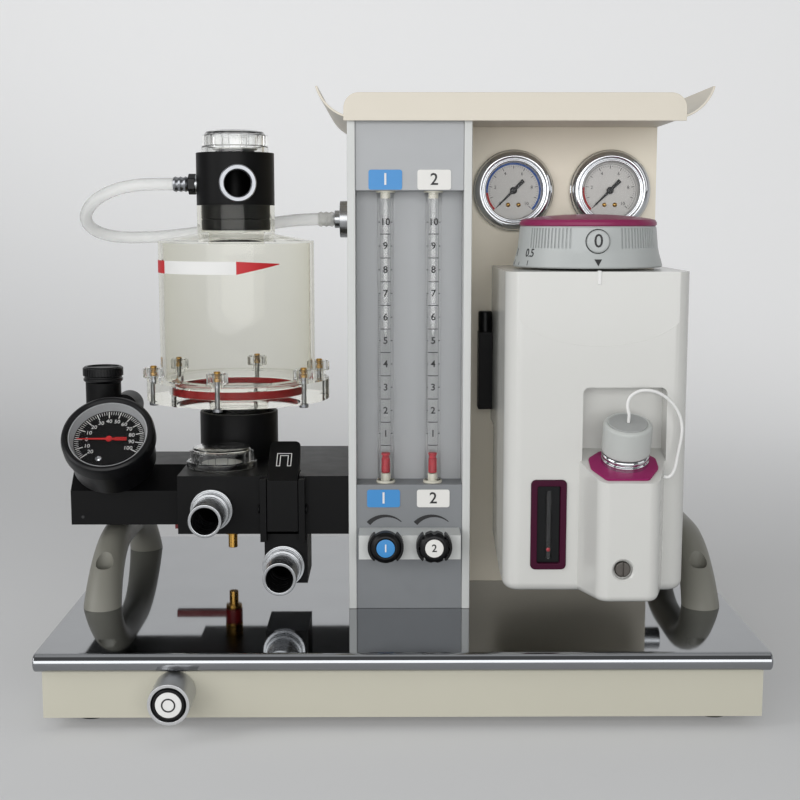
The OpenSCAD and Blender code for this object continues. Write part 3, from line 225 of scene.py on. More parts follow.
def two_tone(name, slot, split, lower, upper, rough, swing, grain, bump, **constants):
    """Lacquer painted darker below a height, in metres, as painted shade, and lighter above it."""
    made = Finish(name, slot, **constants)
    height = made.node("ShaderNodeSeparateXYZ", {}, {"Vector": made.coords()}, output=2)
    # painted shade: the darker tone below the split height
    tone = made.mixed(height > split, tint(lower), tint(upper))
    made.feed("Base Color", made.mixed(made.noise(18, 4) * 0.12, tone, tint((150, 152, 153))))
    made.gloss(made.noise(90), rough, swing)
    made.bump(made.noise(grain, 2), bump, 0.0001)
    return made.material


# painted shade: the chassis cream is the column's cream paint, darkened for the shade under the tray
SHADED_CHASSIS_CREAM = speckled("chassis_coat_painted_shade", "cream_paint", (198, 195, 179), 0.05, 0.42, bump=0.12)
# painted light: the column's cream is the same paint, lightened to offset the shade under the shelf
LIT_COLUMN_CREAM = speckled("column_coat_painted_light", "cream_paint", (238, 230, 212), 0.05, 0.42, bump=0.12)
PALE_CREAM = speckled("pale_powder_coat", "cream_paint", (222, 215, 200), 0.05, 0.42, bump=0.12)
PANEL_CREAM = speckled("rear_powder_coat", "panel_paint", (198, 193, 180), 0.05, 0.45, bump=0.12)
HANDLE_GREY = speckled("handle_grey", "grey_plastic", (130, 129, 120), 0.08, 0.45, swing=0.12,
                       grain=1400, bump=0.18)
RUBBER = speckled("black_rubber", "black_rubber", (24, 24, 26), 0.2, 0.75, grain=1200, bump=0.3,
                  Specular_IOR_Level=0.3)
BLACK_ANODISED = speckled("black_anodised", "black_anodised", (9, 9, 10), 0.15, 0.42, swing=0.12,
                          grain=2200, bump=0.2, Specular_IOR_Level=0.14)
BLACK_MOULDED = speckled("black_moulded", "black_plastic", (13, 13, 15), 0.2, 0.34, grain=1600,
                         bump=0.15, Specular_IOR_Level=0.25)
# painted shade: below 136 mm the silver is darker, for the shade on the flowmeter's lower valve block
SILVER_LACQUER_SHADED_LOW = two_tone("silver_lacquer_painted_shade_low", "silver_paint", 0.1362, (126, 129, 132), (162, 164, 166),
                          0.4, 0.08, 2600, 0.18, Metallic=0.15)
SILVER_RING = speckled("silver_ring", "silver_paint", (198, 200, 202), 0.06, 0.34, bump=0.06,
                       Metallic=0.3)
SEAL_CREAM = speckled("seal_cream", "white_plastic", (214, 211, 196), 0.06, 0.4, bump=0.08)
WHITE_WALL = speckled("white_wall", "white_plastic", (206, 208, 206), 0.03, 0.35, swing=0.08, bump=0.06)
WHITE_GLOSS = speckled("white_gloss", "white_plastic", (211, 211, 207), 0.03, 0.24, swing=0.06,
                       grain=350, bump=0.05, Coat_Weight=0.25, Coat_Roughness=0.12)
CAP_WHITE = speckled("cap_white", "white_plastic", (192, 195, 192), 0.04, 0.35, swing=0.08)
CAP_GREY = speckled("cap_grey", "white_plastic", (166, 168, 167), 0.05, 0.42, swing=0.08)
DIAL_GREY = speckled("dial_grey", "white_plastic", (182, 186, 185), 0.04, 0.38, swing=0.08)
MAGENTA = speckled("magenta_cap", "magenta_plastic", (142, 42, 88), 0.08, 0.36, grain=800,
                   Specular_IOR_Level=0.3)
# painted shade: the sight frame is the trim's magenta plastic, darkened for the shade it sits in
SHADED_MAGENTA = speckled("magenta_painted_shade", "magenta_plastic", (64, 12, 40), 0.12, 0.38, grain=800,
                        Specular_IOR_Level=0.12)
TRIM_MAGENTA = speckled("trim_magenta", "magenta_plastic", (148, 26, 94), 0.1, 0.42, grain=800,
                        Specular_IOR_Level=0.3)
RED_FLOAT = speckled("red_float", "red_plastic", (178, 26, 44), 0.1, 0.3, grain=800)
RED_LEVER = speckled("red_lever", "red_plastic", (150, 26, 30), 0.12, 0.4, bump=0.15)
RED_GASKET = speckled("red_gasket", "red_silicone", (146, 18, 20), 0.12, 0.5, bump=0.2,
                      Specular_IOR_Level=0.25)
POINTER_RED = speckled("pointer_red", "red_plastic", (216, 40, 40), 0.06, 0.45, bump=0.05)
DIAL_WHITE = speckled("dial_white", "dial_white", (232, 231, 227), 0.03, 0.5, swing=0.08, grain=1500,
                      bump=0.05)
INK_BLACK = speckled("ink_black", "black_plastic", (28, 28, 30), 0.1, 0.5, grain=1500, bump=0.05)
INK_WHITE = speckled("ink_white", "white_plastic", (232, 232, 230), 0.03, 0.5, grain=1500, bump=0.05)
INK_RED = speckled("ink_red", "red_plastic", (198, 22, 32), 0.06, 0.5, grain=1500, bump=0.05)
INK_BLUE = speckled("ink_blue", "white_plastic", (46, 96, 178), 0.06, 0.5, grain=1500, bump=0.05)
LABEL_BLUE = speckled("label_blue", "white_plastic", (58, 142, 208), 0.05, 0.4, grain=1200, bump=0.06)
DISC_WHITE = speckled("disc_white", "white_plastic", (216, 216, 210), 0.04, 0.5)
CORD_WHITE = speckled("braided_cord", None, (240, 240, 238), 0.06, 0.7, grain=2600, bump=0.5,
                      depth=0.0003)
MIRROR_STEEL = turned("mirror_steel", "polished_steel", (156, 158, 161), 0.05, 0.05, (1, 1, 1), 0.004)
CHROME = turned("chrome", "chrome", (214, 216, 219), 0.07, 0.05, (1, 1, 1), 0.004)
BRIGHT = turned("bright_aluminium", "bright_aluminium", (178, 180, 182), 0.26, 0.12, (1, 14, 1), 0.05)
SATIN = turned("satin_aluminium", "bright_aluminium", (206, 207, 208), 0.42, 0.1, (1, 14, 1), 0.05)
DARK_STEEL = turned("dark_steel", "steel", (104, 100, 96), 0.36, 0.12, (1, 1, 8), 0.06)
STEEL = turned("screw_steel", "steel", (150, 152, 156), 0.3, 0.15, (1, 1, 8), 0.06)
BRASS = turned("brass", "brass", (188, 146, 74), 0.28, 0.14, (1, 1, 10), 0.06)
# the rim tone is painted edge shade on the jar's walls, with some of the acrylic's own yellow
ACRYLIC = clear("clear_acrylic", "clear_acrylic", (0.962, 0.958, 0.915, 1), 0.02, ior=1.04,
                rim=(0.8, 0.79, 0.69, 1), Coat_Weight=0.25)
CLEAR_MOULDED = clear("clear_moulded", "clear_acrylic", (0.95, 0.955, 0.945, 1), 0.03, ior=1.33,
                      Coat_Weight=0.5)
GLASS = clear("clear_glass", "clear_glass", (0.99, 0.99, 0.985, 1), 0.01, ior=1.06, Coat_Weight=0.6)
HOSE_CLEAR = clear("hose_clear", "hose_plastic", (0.97, 0.975, 0.96, 1), 0.2, 0.7, 1.12)
LENS = film("clear_pane", "clear_glass", (0.02, 0.02, 0.02, 1), 0.03, 0.05)
SMOKED = speckled("smoked_glass", "smoked_glass", (22, 23, 24), 0.3, 0.2, swing=0.06, grain=500,
                  bump=0.03, Specular_IOR_Level=0.2)


# Camera, at the photograph's viewing angle

CAMERA_LENS, CAMERA_SENSOR = 60.35, 36
CAMERA_AT = (-7.9, -943.4, 312.4)
PITCH_DOWN = 7.645
YAW_RIGHT = 0.42

eye = bpy.data.cameras.new("photo_camera")
eye.lens = CAMERA_LENS
eye.sensor_width = CAMERA_SENSOR
camera = bpy.data.objects.new("photo_camera", eye)
camera.location = Vector(CAMERA_AT) * MM
camera.rotation_euler = (math.radians(90 - PITCH_DOWN), 0, math.radians(-YAW_RIGHT))
bpy.context.scene.collection.objects.link(camera)
bpy.context.scene.camera = camera


# Cords, on the routes of their solids

HOSE_R, TETHER_R = 4.5, 1
CORD_STEPS, CORD_ROUND = 6, 5


def laid(points, steps):
    """The route as a smooth run through its points, as the solid has it."""
    route = []
    last = len(points) - 1
    for i in range(last):
        a, b, c, d = (Vector(points[k]) for k in (max(i - 1, 0), i, i + 1, min(i + 2, last)))
        for k in range(steps):
            u = k / steps
            route.append(0.5 * (2 * b + (c - a) * u + (2 * a - 5 * b + 4 * c - d) * u * u
                                + (3 * b - a - 3 * c + d) * u ** 3))
    route.append(Vector(points[last]))
    return route


def cord_piece(name, points, radius, finish, node, **facts):
    route = [p * MM for p in laid(points, CORD_STEPS)]
    line = bpy.data.curves.new(name, "CURVE")
    line.dimensions = "3D"
    line.bevel_depth = radius * MM
    line.bevel_resolution = CORD_ROUND
    line.use_fill_caps = True
    spline = line.splines.new("POLY")
    spline.points.add(len(route) - 1)
    for point, place in zip(spline.points, route):
        point.co = (*place, 1)
    spline.use_smooth = True
    cord = bpy.data.objects.new(name, line)
    line.materials.append(finish)
    bpy.context.scene.collection.objects.link(cord)
    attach(cord, BODY)
    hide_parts(node)
    length = sum((b - a).length for a, b in zip(route, route[1:]))


HOSE_ROUTE = [
    (-160, 38, 338), (-174, 38, 338), (-191, 40.4, 337.4), (-207, 46, 334.5),
    (-220, 53.5, 329.5), (-230, 63, 323), (-236, 74, 315.5), (-236.5, 85, 308.5),
    (-231, 95, 303), (-221, 101.5, 300), (-208, 104, 299), (-194, 104, 299.3),
    (-180, 102, 300.2), (-165, 99, 301.8), (-150, 96, 303.6), (-135, 92.5, 305.4),
    (-120, 88.5, 307), (-106, 84, 308.6), (-94, 78.5, 310.4), (-83, 72.4, 311.8),
    (-73, 66.6, 312.6), (-63, 62, 313), (-52, 62, 313)]
TETHER_ROUTE = [
    (140, -120.573, 187.928), (140, -122.4, 193), (138.8, -123, 198.5), (140.4, -122.6, 204),
    (146, -121.5, 207.4), (152, -120.8, 207.8), (158, -120, 206.4), (164, -118.6, 202.8),
    (169, -117.2, 197.8), (172.6, -116, 192), (174.5, -115.2, 185.4), (174.6, -115, 178.6),
    (173.4, -115.2, 172), (171.9, -116.6, 166), (170.6, -118.6, 160.6), (168.6, -120.9, 156.2),
    (165.8, -122.1, 153.6), (163, -121, 153.5)]
cord_piece("gas_hose_line", HOSE_ROUTE, HOSE_R, HOSE_CLEAR, "gas_hose", stiffness="medium",
           lay="hanging")
cord_piece("cap_tether_cord", TETHER_ROUTE, TETHER_R, CORD_WHITE, "cap_tether", stiffness="limp",
           lay="loose")


# Mesh kit: shapes are built in mm and scaled once, when they become a piece

def body_of(node):
    """Name of the body that a CAD node rides on."""
    holder = frame["nodes"][node].parent
    return next(name for name, empty in frame["bodies"].items() if empty == holder)


def piece(name, shape, finish, body=BODY, nodes=(), least=32):
    """Turns a shape into a scene piece that rides on its body."""
    bmesh.ops.scale(shape, vec=(MM, MM, MM), verts=shape.verts[:])
    for face in shape.faces:
        face.smooth = True
    for edge in shape.edges:
        edge.smooth = edge.is_manifold and edge.calc_face_angle(0) < math.radians(least)
    mesh = bpy.data.meshes.new(name)
    shape.to_mesh(mesh)
    shape.free()
    mesh.materials.append(finish)
    made = bpy.data.objects.new(name, mesh)
    made.modifiers.new("face_normals", "WEIGHTED_NORMAL").keep_sharp = True
    bpy.context.scene.collection.objects.link(made)
    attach(made, body)
    if nodes:
        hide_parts(*nodes)


def put(shape, part, place=Matrix()):
    """Adds one shape to another at a place."""
    moved(part, place)
    mesh = bpy.data.meshes.new("part")
    part.to_mesh(mesh)
    part.free()
    shape.from_mesh(mesh)
    bpy.data.meshes.remove(mesh)


def at(x, y, z):
    """A place without a turn."""
    return Matrix.Translation((x, y, z))


def moved(part, place):
    """The same shape, taken to its place."""
    bmesh.ops.transform(part, matrix=place, verts=part.verts[:])
    return part


def facing(place):
    """Place whose x runs right, y up and z towards the front."""
    return Matrix.Translation(place) @ Matrix.Rotation(math.radians(90), 4, "X")


def along(axis, place):
    """Place whose z runs along the axis."""
    return Matrix.Translation(place) @ Vector(axis).to_track_quat("Z", "Y").to_matrix().to_4x4()


def spun(degrees):
    """Turn about Z."""
    return Matrix.Rotation(math.radians(degrees), 4, "Z")


def bevel(part, edges, width, segments):
    bmesh.ops.bevel(part, geom=edges, offset=width, offset_type="OFFSET", segments=segments,
                    profile=0.5, affect="EDGES", clamp_overlap=True, material=-1)


def ease(part, width, segments=2, least=35):
    """Rounds every edge that is sharper than the least angle."""
    bevel(part, [e for e in part.edges
                 if e.is_manifold and e.calc_face_angle(0) > math.radians(least)],
          width, segments)
    return part


def lathe(profile, steps=ROUND, closed=False, eased=0.0):
    """Spins a profile of (radius, height) points about Z."""
    part = bmesh.new()
    points = [part.verts.new((r, 0, z)) for r, z in profile]
    pairs = list(zip(points, points[1:])) + ([(points[-1], points[0])] if closed else [])
    lines = [part.edges.new(pair) for pair in pairs]
    bmesh.ops.spin(part, geom=points + lines, cent=(0, 0, 0), axis=(0, 0, 1), angle=math.tau,
                   steps=steps, use_merge=True)
    bmesh.ops.remove_doubles(part, verts=part.verts[:], dist=0.0005)
    bmesh.ops.recalc_face_normals(part, faces=part.faces[:])
    return ease(part, eased) if eased else part


def drum(outer, low, high, steps=ROUND, eased=0.0, bore=0):
    """A plain round bar, or a ring where it has a bore."""
    profile = [(bore, low), (outer, low), (outer, high), (bore, high)]
    return lathe(profile, steps, bore > 0, eased)


def arc_band(inner, outer, start, sweep):
    """A printed arc, clockwise from the top, of the given sweep in degrees."""
    part = bmesh.new()
    corners = [(inner, 0), (outer, 0), (outer, INK), (inner, INK)]
    points = [part.verts.new((0, r, z)) for r, z in corners]
    lines = [part.edges.new((points[i], points[(i + 1) % 4])) for i in range(4)]
    bmesh.ops.rotate(part, verts=points, cent=(0, 0, 0),
                     matrix=Matrix.Rotation(math.radians(-start), 3, "Z"))
    bmesh.ops.spin(part, geom=points + lines, cent=(0, 0, 0), axis=(0, 0, 1),
                   angle=math.radians(-sweep), steps=max(6, int(abs(sweep) / 4)))
    bmesh.ops.holes_fill(part, edges=[e for e in part.edges if e.is_boundary], sides=4)
    bmesh.ops.recalc_face_normals(part, faces=part.faces[:])
    return part


def block(low, high, eased=0.0, upright=None, corner=0.0):
    """A box with rounded upright corners and eased edges."""
    part = bmesh.new()
    low, high = Vector(low), Vector(high)
    bmesh.ops.create_cube(part, size=1, matrix=Matrix.Translation((low + high) / 2)
                          @ Matrix.Diagonal((*(high - low), 1)))
    if corner:
        axis = "XYZ".index(upright)
        posts = [e for e in part.edges if abs((e.verts[0].co - e.verts[1].co)[axis]) > 0.01]
        bevel(part, posts, corner, 6)
    return ease(part, eased) if eased else part


def extruded(outline, depth):
    """A flat outline in x and y with a depth along z."""
    part = bmesh.new()
    face = part.faces.new([part.verts.new((x, y, 0)) for x, y in outline])
    grown = bmesh.ops.extrude_face_region(part, geom=[face])["geom"]
    bmesh.ops.translate(part, vec=(0, 0, depth),
                        verts=[v for v in grown if isinstance(v, bmesh.types.BMVert)])
    bmesh.ops.recalc_face_normals(part, faces=part.faces[:])
    return part


def copied(node):
    """A merged copy of a CAD node, in mm."""
    part = bmesh.new()
    part.from_mesh(frame["nodes"][node].data)
    bmesh.ops.scale(part, vec=(1 / MM,) * 3, verts=part.verts[:])
    bmesh.ops.remove_doubles(part, verts=part.verts[:], dist=0.003)
    bmesh.ops.dissolve_limit(part, angle_limit=math.radians(1), verts=part.verts[:],
                             edges=part.edges[:])
    return part


def loose(name, part):
    """A passing object for a cut."""
    mesh = bpy.data.meshes.new(name)
    part.to_mesh(mesh)
    part.free()
    holder = bpy.data.objects.new(name, mesh)
    bpy.context.scene.collection.objects.link(holder)
    return holder


def carve(part, cutter, operation="DIFFERENCE"):
    """Cuts one shape by another, or joins them."""
    base, tool = loose("base", part), loose("tool", cutter)
    cut = base.modifiers.new("cut", "BOOLEAN")
    cut.object, cut.operation, cut.solver = tool, operation, "EXACT"
    graph = bpy.context.evaluated_depsgraph_get()
    mesh = bpy.data.meshes.new_from_object(base.evaluated_get(graph))
    result = bmesh.new()
    result.from_mesh(mesh)
    for holder in (base, tool):
        old = holder.data
        bpy.data.objects.remove(holder)
        bpy.data.meshes.remove(old)
    bpy.data.meshes.remove(mesh)
    bmesh.ops.remove_doubles(result, verts=result.verts[:], dist=0.001)
    return result


def figure(text, height, bold=0.0):
    """A printed numeral, x across, y up, raised along z; bold widens its strokes."""
    line = bpy.data.curves.new("figure", "FONT")
    line.body, line.size, line.extrude, line.offset = text, height / FIGURE_SHARE, INK / 2, bold
    line.align_x, line.align_y, line.resolution_u = "CENTER", "CENTER", 3
    holder = bpy.data.objects.new("figure", line)
    bpy.context.scene.collection.objects.link(holder)
    graph = bpy.context.evaluated_depsgraph_get()
    mesh = bpy.data.meshes.new_from_object(holder.evaluated_get(graph))
    part = bmesh.new()
    part.from_mesh(mesh)
    bpy.data.objects.remove(holder)
    bpy.data.curves.remove(line)
    bpy.data.meshes.remove(mesh)
    bmesh.ops.remove_doubles(part, verts=part.verts[:], dist=0.0005)
    bmesh.ops.translate(part, vec=(0, 0, INK / 2), verts=part.verts[:])
    return part


def wrapped(part, radius):
    """Bends a flat shape round a post, whose radius is a number or a function of height."""
    for vert in part.verts:
        wall = radius(vert.co.y) if callable(radius) else radius
        turn, out = vert.co.x / wall, wall + vert.co.z
        vert.co = (out * math.sin(turn), -out * math.cos(turn), vert.co.y)
    return part


def clock(radius, degrees):
    """Point of a dial face, clockwise from its top."""
    turn = math.radians(degrees)
    return Vector((radius * math.sin(turn), radius * math.cos(turn), 0))


def marks(ticks, figures):
    """Ticks (degrees, inner, outer, width) and numerals (text, degrees, radius, height)."""
    shape = bmesh.new()
    for degrees, inner, outer, width in ticks:
        put(shape, block((-width / 2, inner, 0), (width / 2, outer, INK)), spun(-degrees))
    for text, degrees, radius, height in figures:
        put(shape, figure(text, height), Matrix.Translation(clock(radius, degrees)))
    return shape


def needle(reach, tail, width, tip, thick):
    """A tapered dial hand along +Y."""
    part = block((-width / 2, -tail, 0), (width / 2, reach, thick))
    for vert in part.verts:
        if vert.co.y > 0:
            vert.co.x *= tip / width
    return ease(part, thick / 4)


def ribbed(part, low, high, count, share, out):
    """Raises evenly spaced ribs on the round wall between two heights."""
    wall = [f for f in part.faces if low < f.calc_center_median().z < high
            and abs(f.normal.z) < 0.3
            and f.normal.xy.dot(f.calc_center_median().xy) > 0]
    groups = {}
    for face in wall:
        middle = face.calc_center_median()
        turn = (math.atan2(middle.y, middle.x) / math.tau) % 1 * count
        if turn % 1 < share:
            groups.setdefault(int(turn), []).append(face)
    for faces in groups.values():
        grown = bmesh.ops.extrude_face_region(part, geom=faces)["geom"]
        bmesh.ops.delete(part, geom=[f for f in faces if f.is_valid], context="FACES")
        for vert in (v for v in grown if isinstance(v, bmesh.types.BMVert)):
            vert.co.xy += vert.co.xy.normalized() * out
    return part


# Folded, moulded and machined solids, with their edges eased

EASED_COPIES = [
    ("chassis_case", "base_chassis", SHADED_CHASSIS_CREAM, 1.0),
    ("floor_plate", "floor_panel", PANEL_CREAM, 0.4),
    ("foot_pads", "rubber_feet", RUBBER, 0.8),
    ("flush_guard", "flush_valve", SATIN, 0.5),
    ("case_screw_heads", "case_screws", STEEL, 0.3),
    ("column_case", "column_housing", LIT_COLUMN_CREAM, 0.8),
    ("back_plate", "rear_panel", PANEL_CREAM, 0.4),
    ("shelf_tray", "shelf", PALE_CREAM, 0.4),
    ("pipe_fittings", "gas_fittings", BRIGHT, 0.4),
    ("tube_bay_case", "flowmeter_housing", WHITE_WALL, 0.6),
    ("scale_panel", "flowmeter_panel", SILVER_LACQUER_SHADED_LOW, 0.4),
    ("knob_bar", "knob_panel", WHITE_WALL, 1.0),
    ("knob_shields", "knob_guards", BLACK_MOULDED, 0.4),
    ("glass_tubes", "flow_tubes", GLASS, 0.3),
    ("filler_ring", "filler_neck", CHROME, 0.6),
    ("sight_window", "sight_glass", SMOKED, 0.3),
    ("vaporizer_bracket", "vaporizer_mount", BLACK_ANODISED, 0.6),
    ("left_manifold", "manifold_bar", BLACK_ANODISED, 0.6),
    ("right_manifold", "expiratory_block", BLACK_ANODISED, 0.6),
    ("relief_valve", "apl_body", BLACK_ANODISED, 0.7),
    ("left_valve_disc", "inspiratory_disc", DISC_WHITE, 0.3),
    ("top_valve_disc", "expiratory_disc", DISC_WHITE, 0.3),
    ("head_body", "valve_head", BLACK_ANODISED, 0.7),
    ("hose_ports", "breathing_ports", BRIGHT, 0.5),
    ("drain_tap", "drain_valve", BRASS, 0.4),
    ("drain_handle", "drain_lever", RED_LEVER, 1.0),
    ("absorber_collar", "canister_collar", BLACK_ANODISED, 0.8)]
for name, node, finish, width in EASED_COPIES:
    shape = ease(copied(node), width, 3 if width > 0.7 else 2)
    piece(name, shape, finish, body_of(node), [node])


# Tray: a polished sheet with turned-down edges and a rolled bead along its front

TRAY_HALF, TRAY_BACK, BEAD_Y, BEAD_R, TRAY_TOP = 226, 155.5, -149.7, 5.8, 50
UNDER_TRAY = (222.2, 148.2, 48.5)
BEAD_STEPS = 16
side = [(TRAY_BACK, TRAY_TOP - 2 * BEAD_R), (TRAY_BACK, TRAY_TOP)]
for k in range(BEAD_STEPS + 1):
    turn = math.radians(90 + 180 * k / BEAD_STEPS)
    side.append((BEAD_Y + BEAD_R * math.cos(turn), TRAY_TOP + BEAD_R * (math.sin(turn) - 1)))
tray = moved(extruded(side, 2 * TRAY_HALF), Matrix(
    ((0, 0, 1, -TRAY_HALF), (1, 0, 0, 0), (0, 1, 0, 0), (0, 0, 0, 1))))
ease(tray, 1.3, 3)
under_x, under_y, under_z = UNDER_TRAY
tray = carve(tray, block((-under_x, -under_y, 0), (under_x, under_y, under_z)))
piece("tray_pan", tray, MIRROR_STEEL, BODY, ["tray_top"])


# Carrying handles: a round bar bent to an arch, thicker at the feet, with two screw pockets

HANDLE_X, HANDLE_FEET = 205, (-50, 117)
ARCH_BEND, ARCH_SWEEP, ARCH_PAST, ARCH_STEPS = 70, 62, 10, 14
FOOT_THICK, TOP_THICK = 12.8, 10.6
POCKET_R, POCKET_IN, POCKET_FLOOR, POCKET_DEPTH = 6, 10, 60, 60


def handle(name, x, node):
    mid = sum(HANDLE_FEET) / 2
    flat = HANDLE_FEET[1] - HANDLE_FEET[0] - 2 * ARCH_BEND * math.sin(math.radians(ARCH_SWEEP))
    top = TRAY_TOP + ARCH_BEND * (1 - math.cos(math.radians(ARCH_SWEEP)))
    stations = []
    for side in (-1, 1):
        bend = []
        for k in range(ARCH_STEPS + 1):
            turn = math.radians(ARCH_SWEEP + ARCH_PAST) * k / ARCH_STEPS
            bend.append((mid + side * (flat / 2 + ARCH_BEND * math.sin(turn)),
                         top - ARCH_BEND * (1 - math.cos(turn)), side * turn))
        stations += bend[::-1] if side < 0 else bend
    shape = bmesh.new()
    rings = []
    for y, z, turn in stations:
        lift = max(0, (z - TRAY_TOP) / (top - TRAY_TOP))
        thick = FOOT_THICK + (TOP_THICK - FOOT_THICK) * lift
        ring = bmesh.ops.create_circle(
            shape, segments=32, radius=thick,
            matrix=at(x, y, z) @ Matrix.Rotation(-turn - math.radians(90), 4, "X"))["verts"]
        rings.append(list({e for v in ring for e in v.link_edges}))
    for one, two in zip(rings, rings[1:]):
        bmesh.ops.bridge_loops(shape, edges=one + two)
    bmesh.ops.bisect_plane(shape, geom=shape.verts[:] + shape.edges[:] + shape.faces[:],
                           plane_co=(0, 0, TRAY_TOP), plane_no=(0, 0, 1), clear_inner=True)
    bmesh.ops.holes_fill(shape, edges=[e for e in shape.edges if e.is_boundary])
    bmesh.ops.recalc_face_normals(shape, faces=shape.faces[:])
    for foot, step in zip(HANDLE_FEET, (POCKET_IN, -POCKET_IN)):
        pocket = drum(POCKET_R, 0, POCKET_DEPTH, 40)
        shape = carve(shape, moved(pocket, at(x, foot + step, POCKET_FLOOR)))
    ease(shape, 0.7, 2, 40)
    piece(name, shape, HANDLE_GREY, BODY, [node])


handle("left_carry_handle", -HANDLE_X, "left_handle")
handle("right_carry_handle", HANDLE_X, "right_handle")


# Flush button: a black cap with a white disc inside its bright guard

FLUSH, FLUSH_BODY = (-140.5, -174.4, 25.5), "flush_button_body"
cap = lathe([(0, -20), (10.2, -20), (10.2, -1.2), (9.4, 0), (8.3, 0), (8, -0.8), (0, -0.8)],
            eased=0.25)
piece("flush_cap", moved(cap, facing(FLUSH)), BLACK_MOULDED, FLUSH_BODY, ["flush_button"])
disc = lathe([(0, -0.8), (7.9, -0.8), (7.9, -0.35), (7.5, -0.2), (0, 0.1)])
piece("flush_disc", moved(disc, facing(FLUSH)), INK_WHITE, FLUSH_BODY)
ring = lathe([(3.4, -0.2), (4.3, -0.25), (4.3, 0.12), (3.4, 0.15)], closed=True)
piece("flush_ring_mark", moved(ring, facing(FLUSH)), INK_BLACK, FLUSH_BODY)


# Flowmeter: floats, seals, tube scales, label plates, flow arcs and needle valve knobs

TUBE_X, TUBE_Y, TUBE_R = (-11, 20.8), -46.5, 5.5
TUBE_LOW, TUBE_HIGH = 135.8, 331.5
SCALE_LOW, SCALE_STEP = 169.8, 15.69
SCALE_COUNT, SCALE_FINE, SCALE_LINE, SCALE_NUMBER = 10, 6, 0.5, 4.5
FLOAT_LOW, FLOAT_GAP = 142.4, 0.4
SEAL_R, SEAL_LOW, SEAL_HIGH = 6.4, 1.6, 1.2
PLUG_R, SLEEVE_BORE, SLEEVE_DROP = 3.3, 3.12, 5
PLATE_T, PLATE_NUMBER, HEAD_FRONT, PANEL_FRONT = 0.5, 7.6, -55, -56
ARC_R, ARC_WIDE, ARC_Z, ARC_START, ARC_TURN = 15.8, 3.2, 98.5, -48, 6.4


def tube_line(low_x, high_x, z, thick):
    """A printed line round the tube's front, in arc lengths from its middle."""
    line = block((low_x, z - thick / 2, 0), (high_x, z + thick / 2, INK))
    bmesh.ops.subdivide_edges(line, edges=[e for e in line.edges
                                           if abs(e.verts[0].co.x - e.verts[1].co.x) > 0.1],
                              cuts=4)
    return wrapped(line, TUBE_R)


def tube_scale(name, x):
    shape = bmesh.new()
    post = at(x, TUBE_Y, 0)
    for k in range(SCALE_COUNT):
        z = SCALE_LOW + SCALE_STEP * k
        number = figure(str(k + 1), SCALE_NUMBER, bold=0.09)
        put(shape, wrapped(moved(number, at(0, z, 0.02)), TUBE_R), post)
        for side in (-1, 1):
            put(shape, tube_line(*sorted((side * 3.6, side * 5.2)), z, SCALE_LINE), post)
        put(shape, tube_line(-3.4, 3.4, z - SCALE_STEP / 2, SCALE_LINE), post)
        for part in range(1, 10 if k < SCALE_FINE else 1):
            put(shape, tube_line(-5.4, -4.6, z + part * SCALE_STEP / 10, 0.45), post)
    piece(name, shape, INK_BLACK)


def tube_float(name, x, node):
    """A waisted red float with a rim round its top."""
    shape = lathe([(0, 0), (2.5, 0), (2.9, 0.6), (2.9, 9.6), (2.3, 10.4), (2.3, 11.4), (3, 12.4),
                   (3, 13.6), (2.4, 13.9), (0, 13.9)], 40)
    piece(name, moved(shape, at(x, TUBE_Y, FLOAT_LOW)), RED_FLOAT, body_of(node), [node])


tube_float("left_float", TUBE_X[0], "n2o_float")
tube_float("right_float", TUBE_X[1], "o2_float")
seals = bmesh.new()
for x in TUBE_X:
    for low, high in ((TUBE_LOW, TUBE_LOW + SEAL_LOW), (TUBE_HIGH - SEAL_HIGH, TUBE_HIGH)):
        put(seals, drum(SEAL_R, low, high, 48, 0.2, TUBE_R), at(x, TUBE_Y, 0))
    # the plug under the float is solid, the sleeve at the top lets the float in
    for bore, low, high in ((0, TUBE_LOW, FLOAT_LOW - FLOAT_GAP),
                            (SLEEVE_BORE, TUBE_HIGH - SLEEVE_DROP, TUBE_HIGH)):
        put(seals, drum(PLUG_R, low, high, 32, 0.04, bore), at(x, TUBE_Y, 0))
piece("tube_end_seals", seals, SEAL_CREAM, BODY, ["tube_seals"])


def label_plate(name, x0, x1, z0, z1, front, finish, mark, ink):
    plate = block((x0, front - PLATE_T, z0), (x1, front, z1), 0.12, "Y", 1.6)
    piece(name, plate, finish)
    middle = facing(((x0 + x1) / 2, front - PLATE_T, (z0 + z1) / 2))
    piece(name + "_number", moved(figure(mark, PLATE_NUMBER, bold=0.12), middle), ink)


def flow_arc(name, x):
    """A tapered arc mark over a knob, thick where it starts."""
    shape = bmesh.new()
    for k in range(14):
        width = ARC_WIDE - 0.2 * k
        put(shape, arc_band(ARC_R - width / 2, ARC_R + width / 2, ARC_START + ARC_TURN * k,
                            ARC_TURN + 0.2))
    bmesh.ops.remove_doubles(shape, verts=shape.verts[:], dist=0.05)
    piece(name, moved(shape, facing((x, PANEL_FRONT, ARC_Z))), INK_BLACK)


for name, x in zip(("left_tube_scale", "right_tube_scale"), TUBE_X):
    tube_scale(name, x)
label_plate("upper_blue_plate", -22, 0, 332, 345, HEAD_FRONT, LABEL_BLUE, "1", INK_WHITE)
label_plate("upper_white_plate", 10, 32, 332, 345, HEAD_FRONT, DIAL_WHITE, "2", INK_BLACK)
label_plate("lower_blue_plate", -23.6, -1.4, 120.3, 132.4, PANEL_FRONT, LABEL_BLUE, "1", INK_WHITE)
label_plate("lower_white_plate", 10, 32, 120.3, 132.4, PANEL_FRONT, DIAL_WHITE, "2", INK_BLACK)
flow_arc("left_flow_arc", TUBE_X[0])
flow_arc("right_flow_arc", TUBE_X[1])

KNOB_Z, KNOB_BACK, KNOB_FRONT, KNOB_R = 100, -80, -90, 10.3


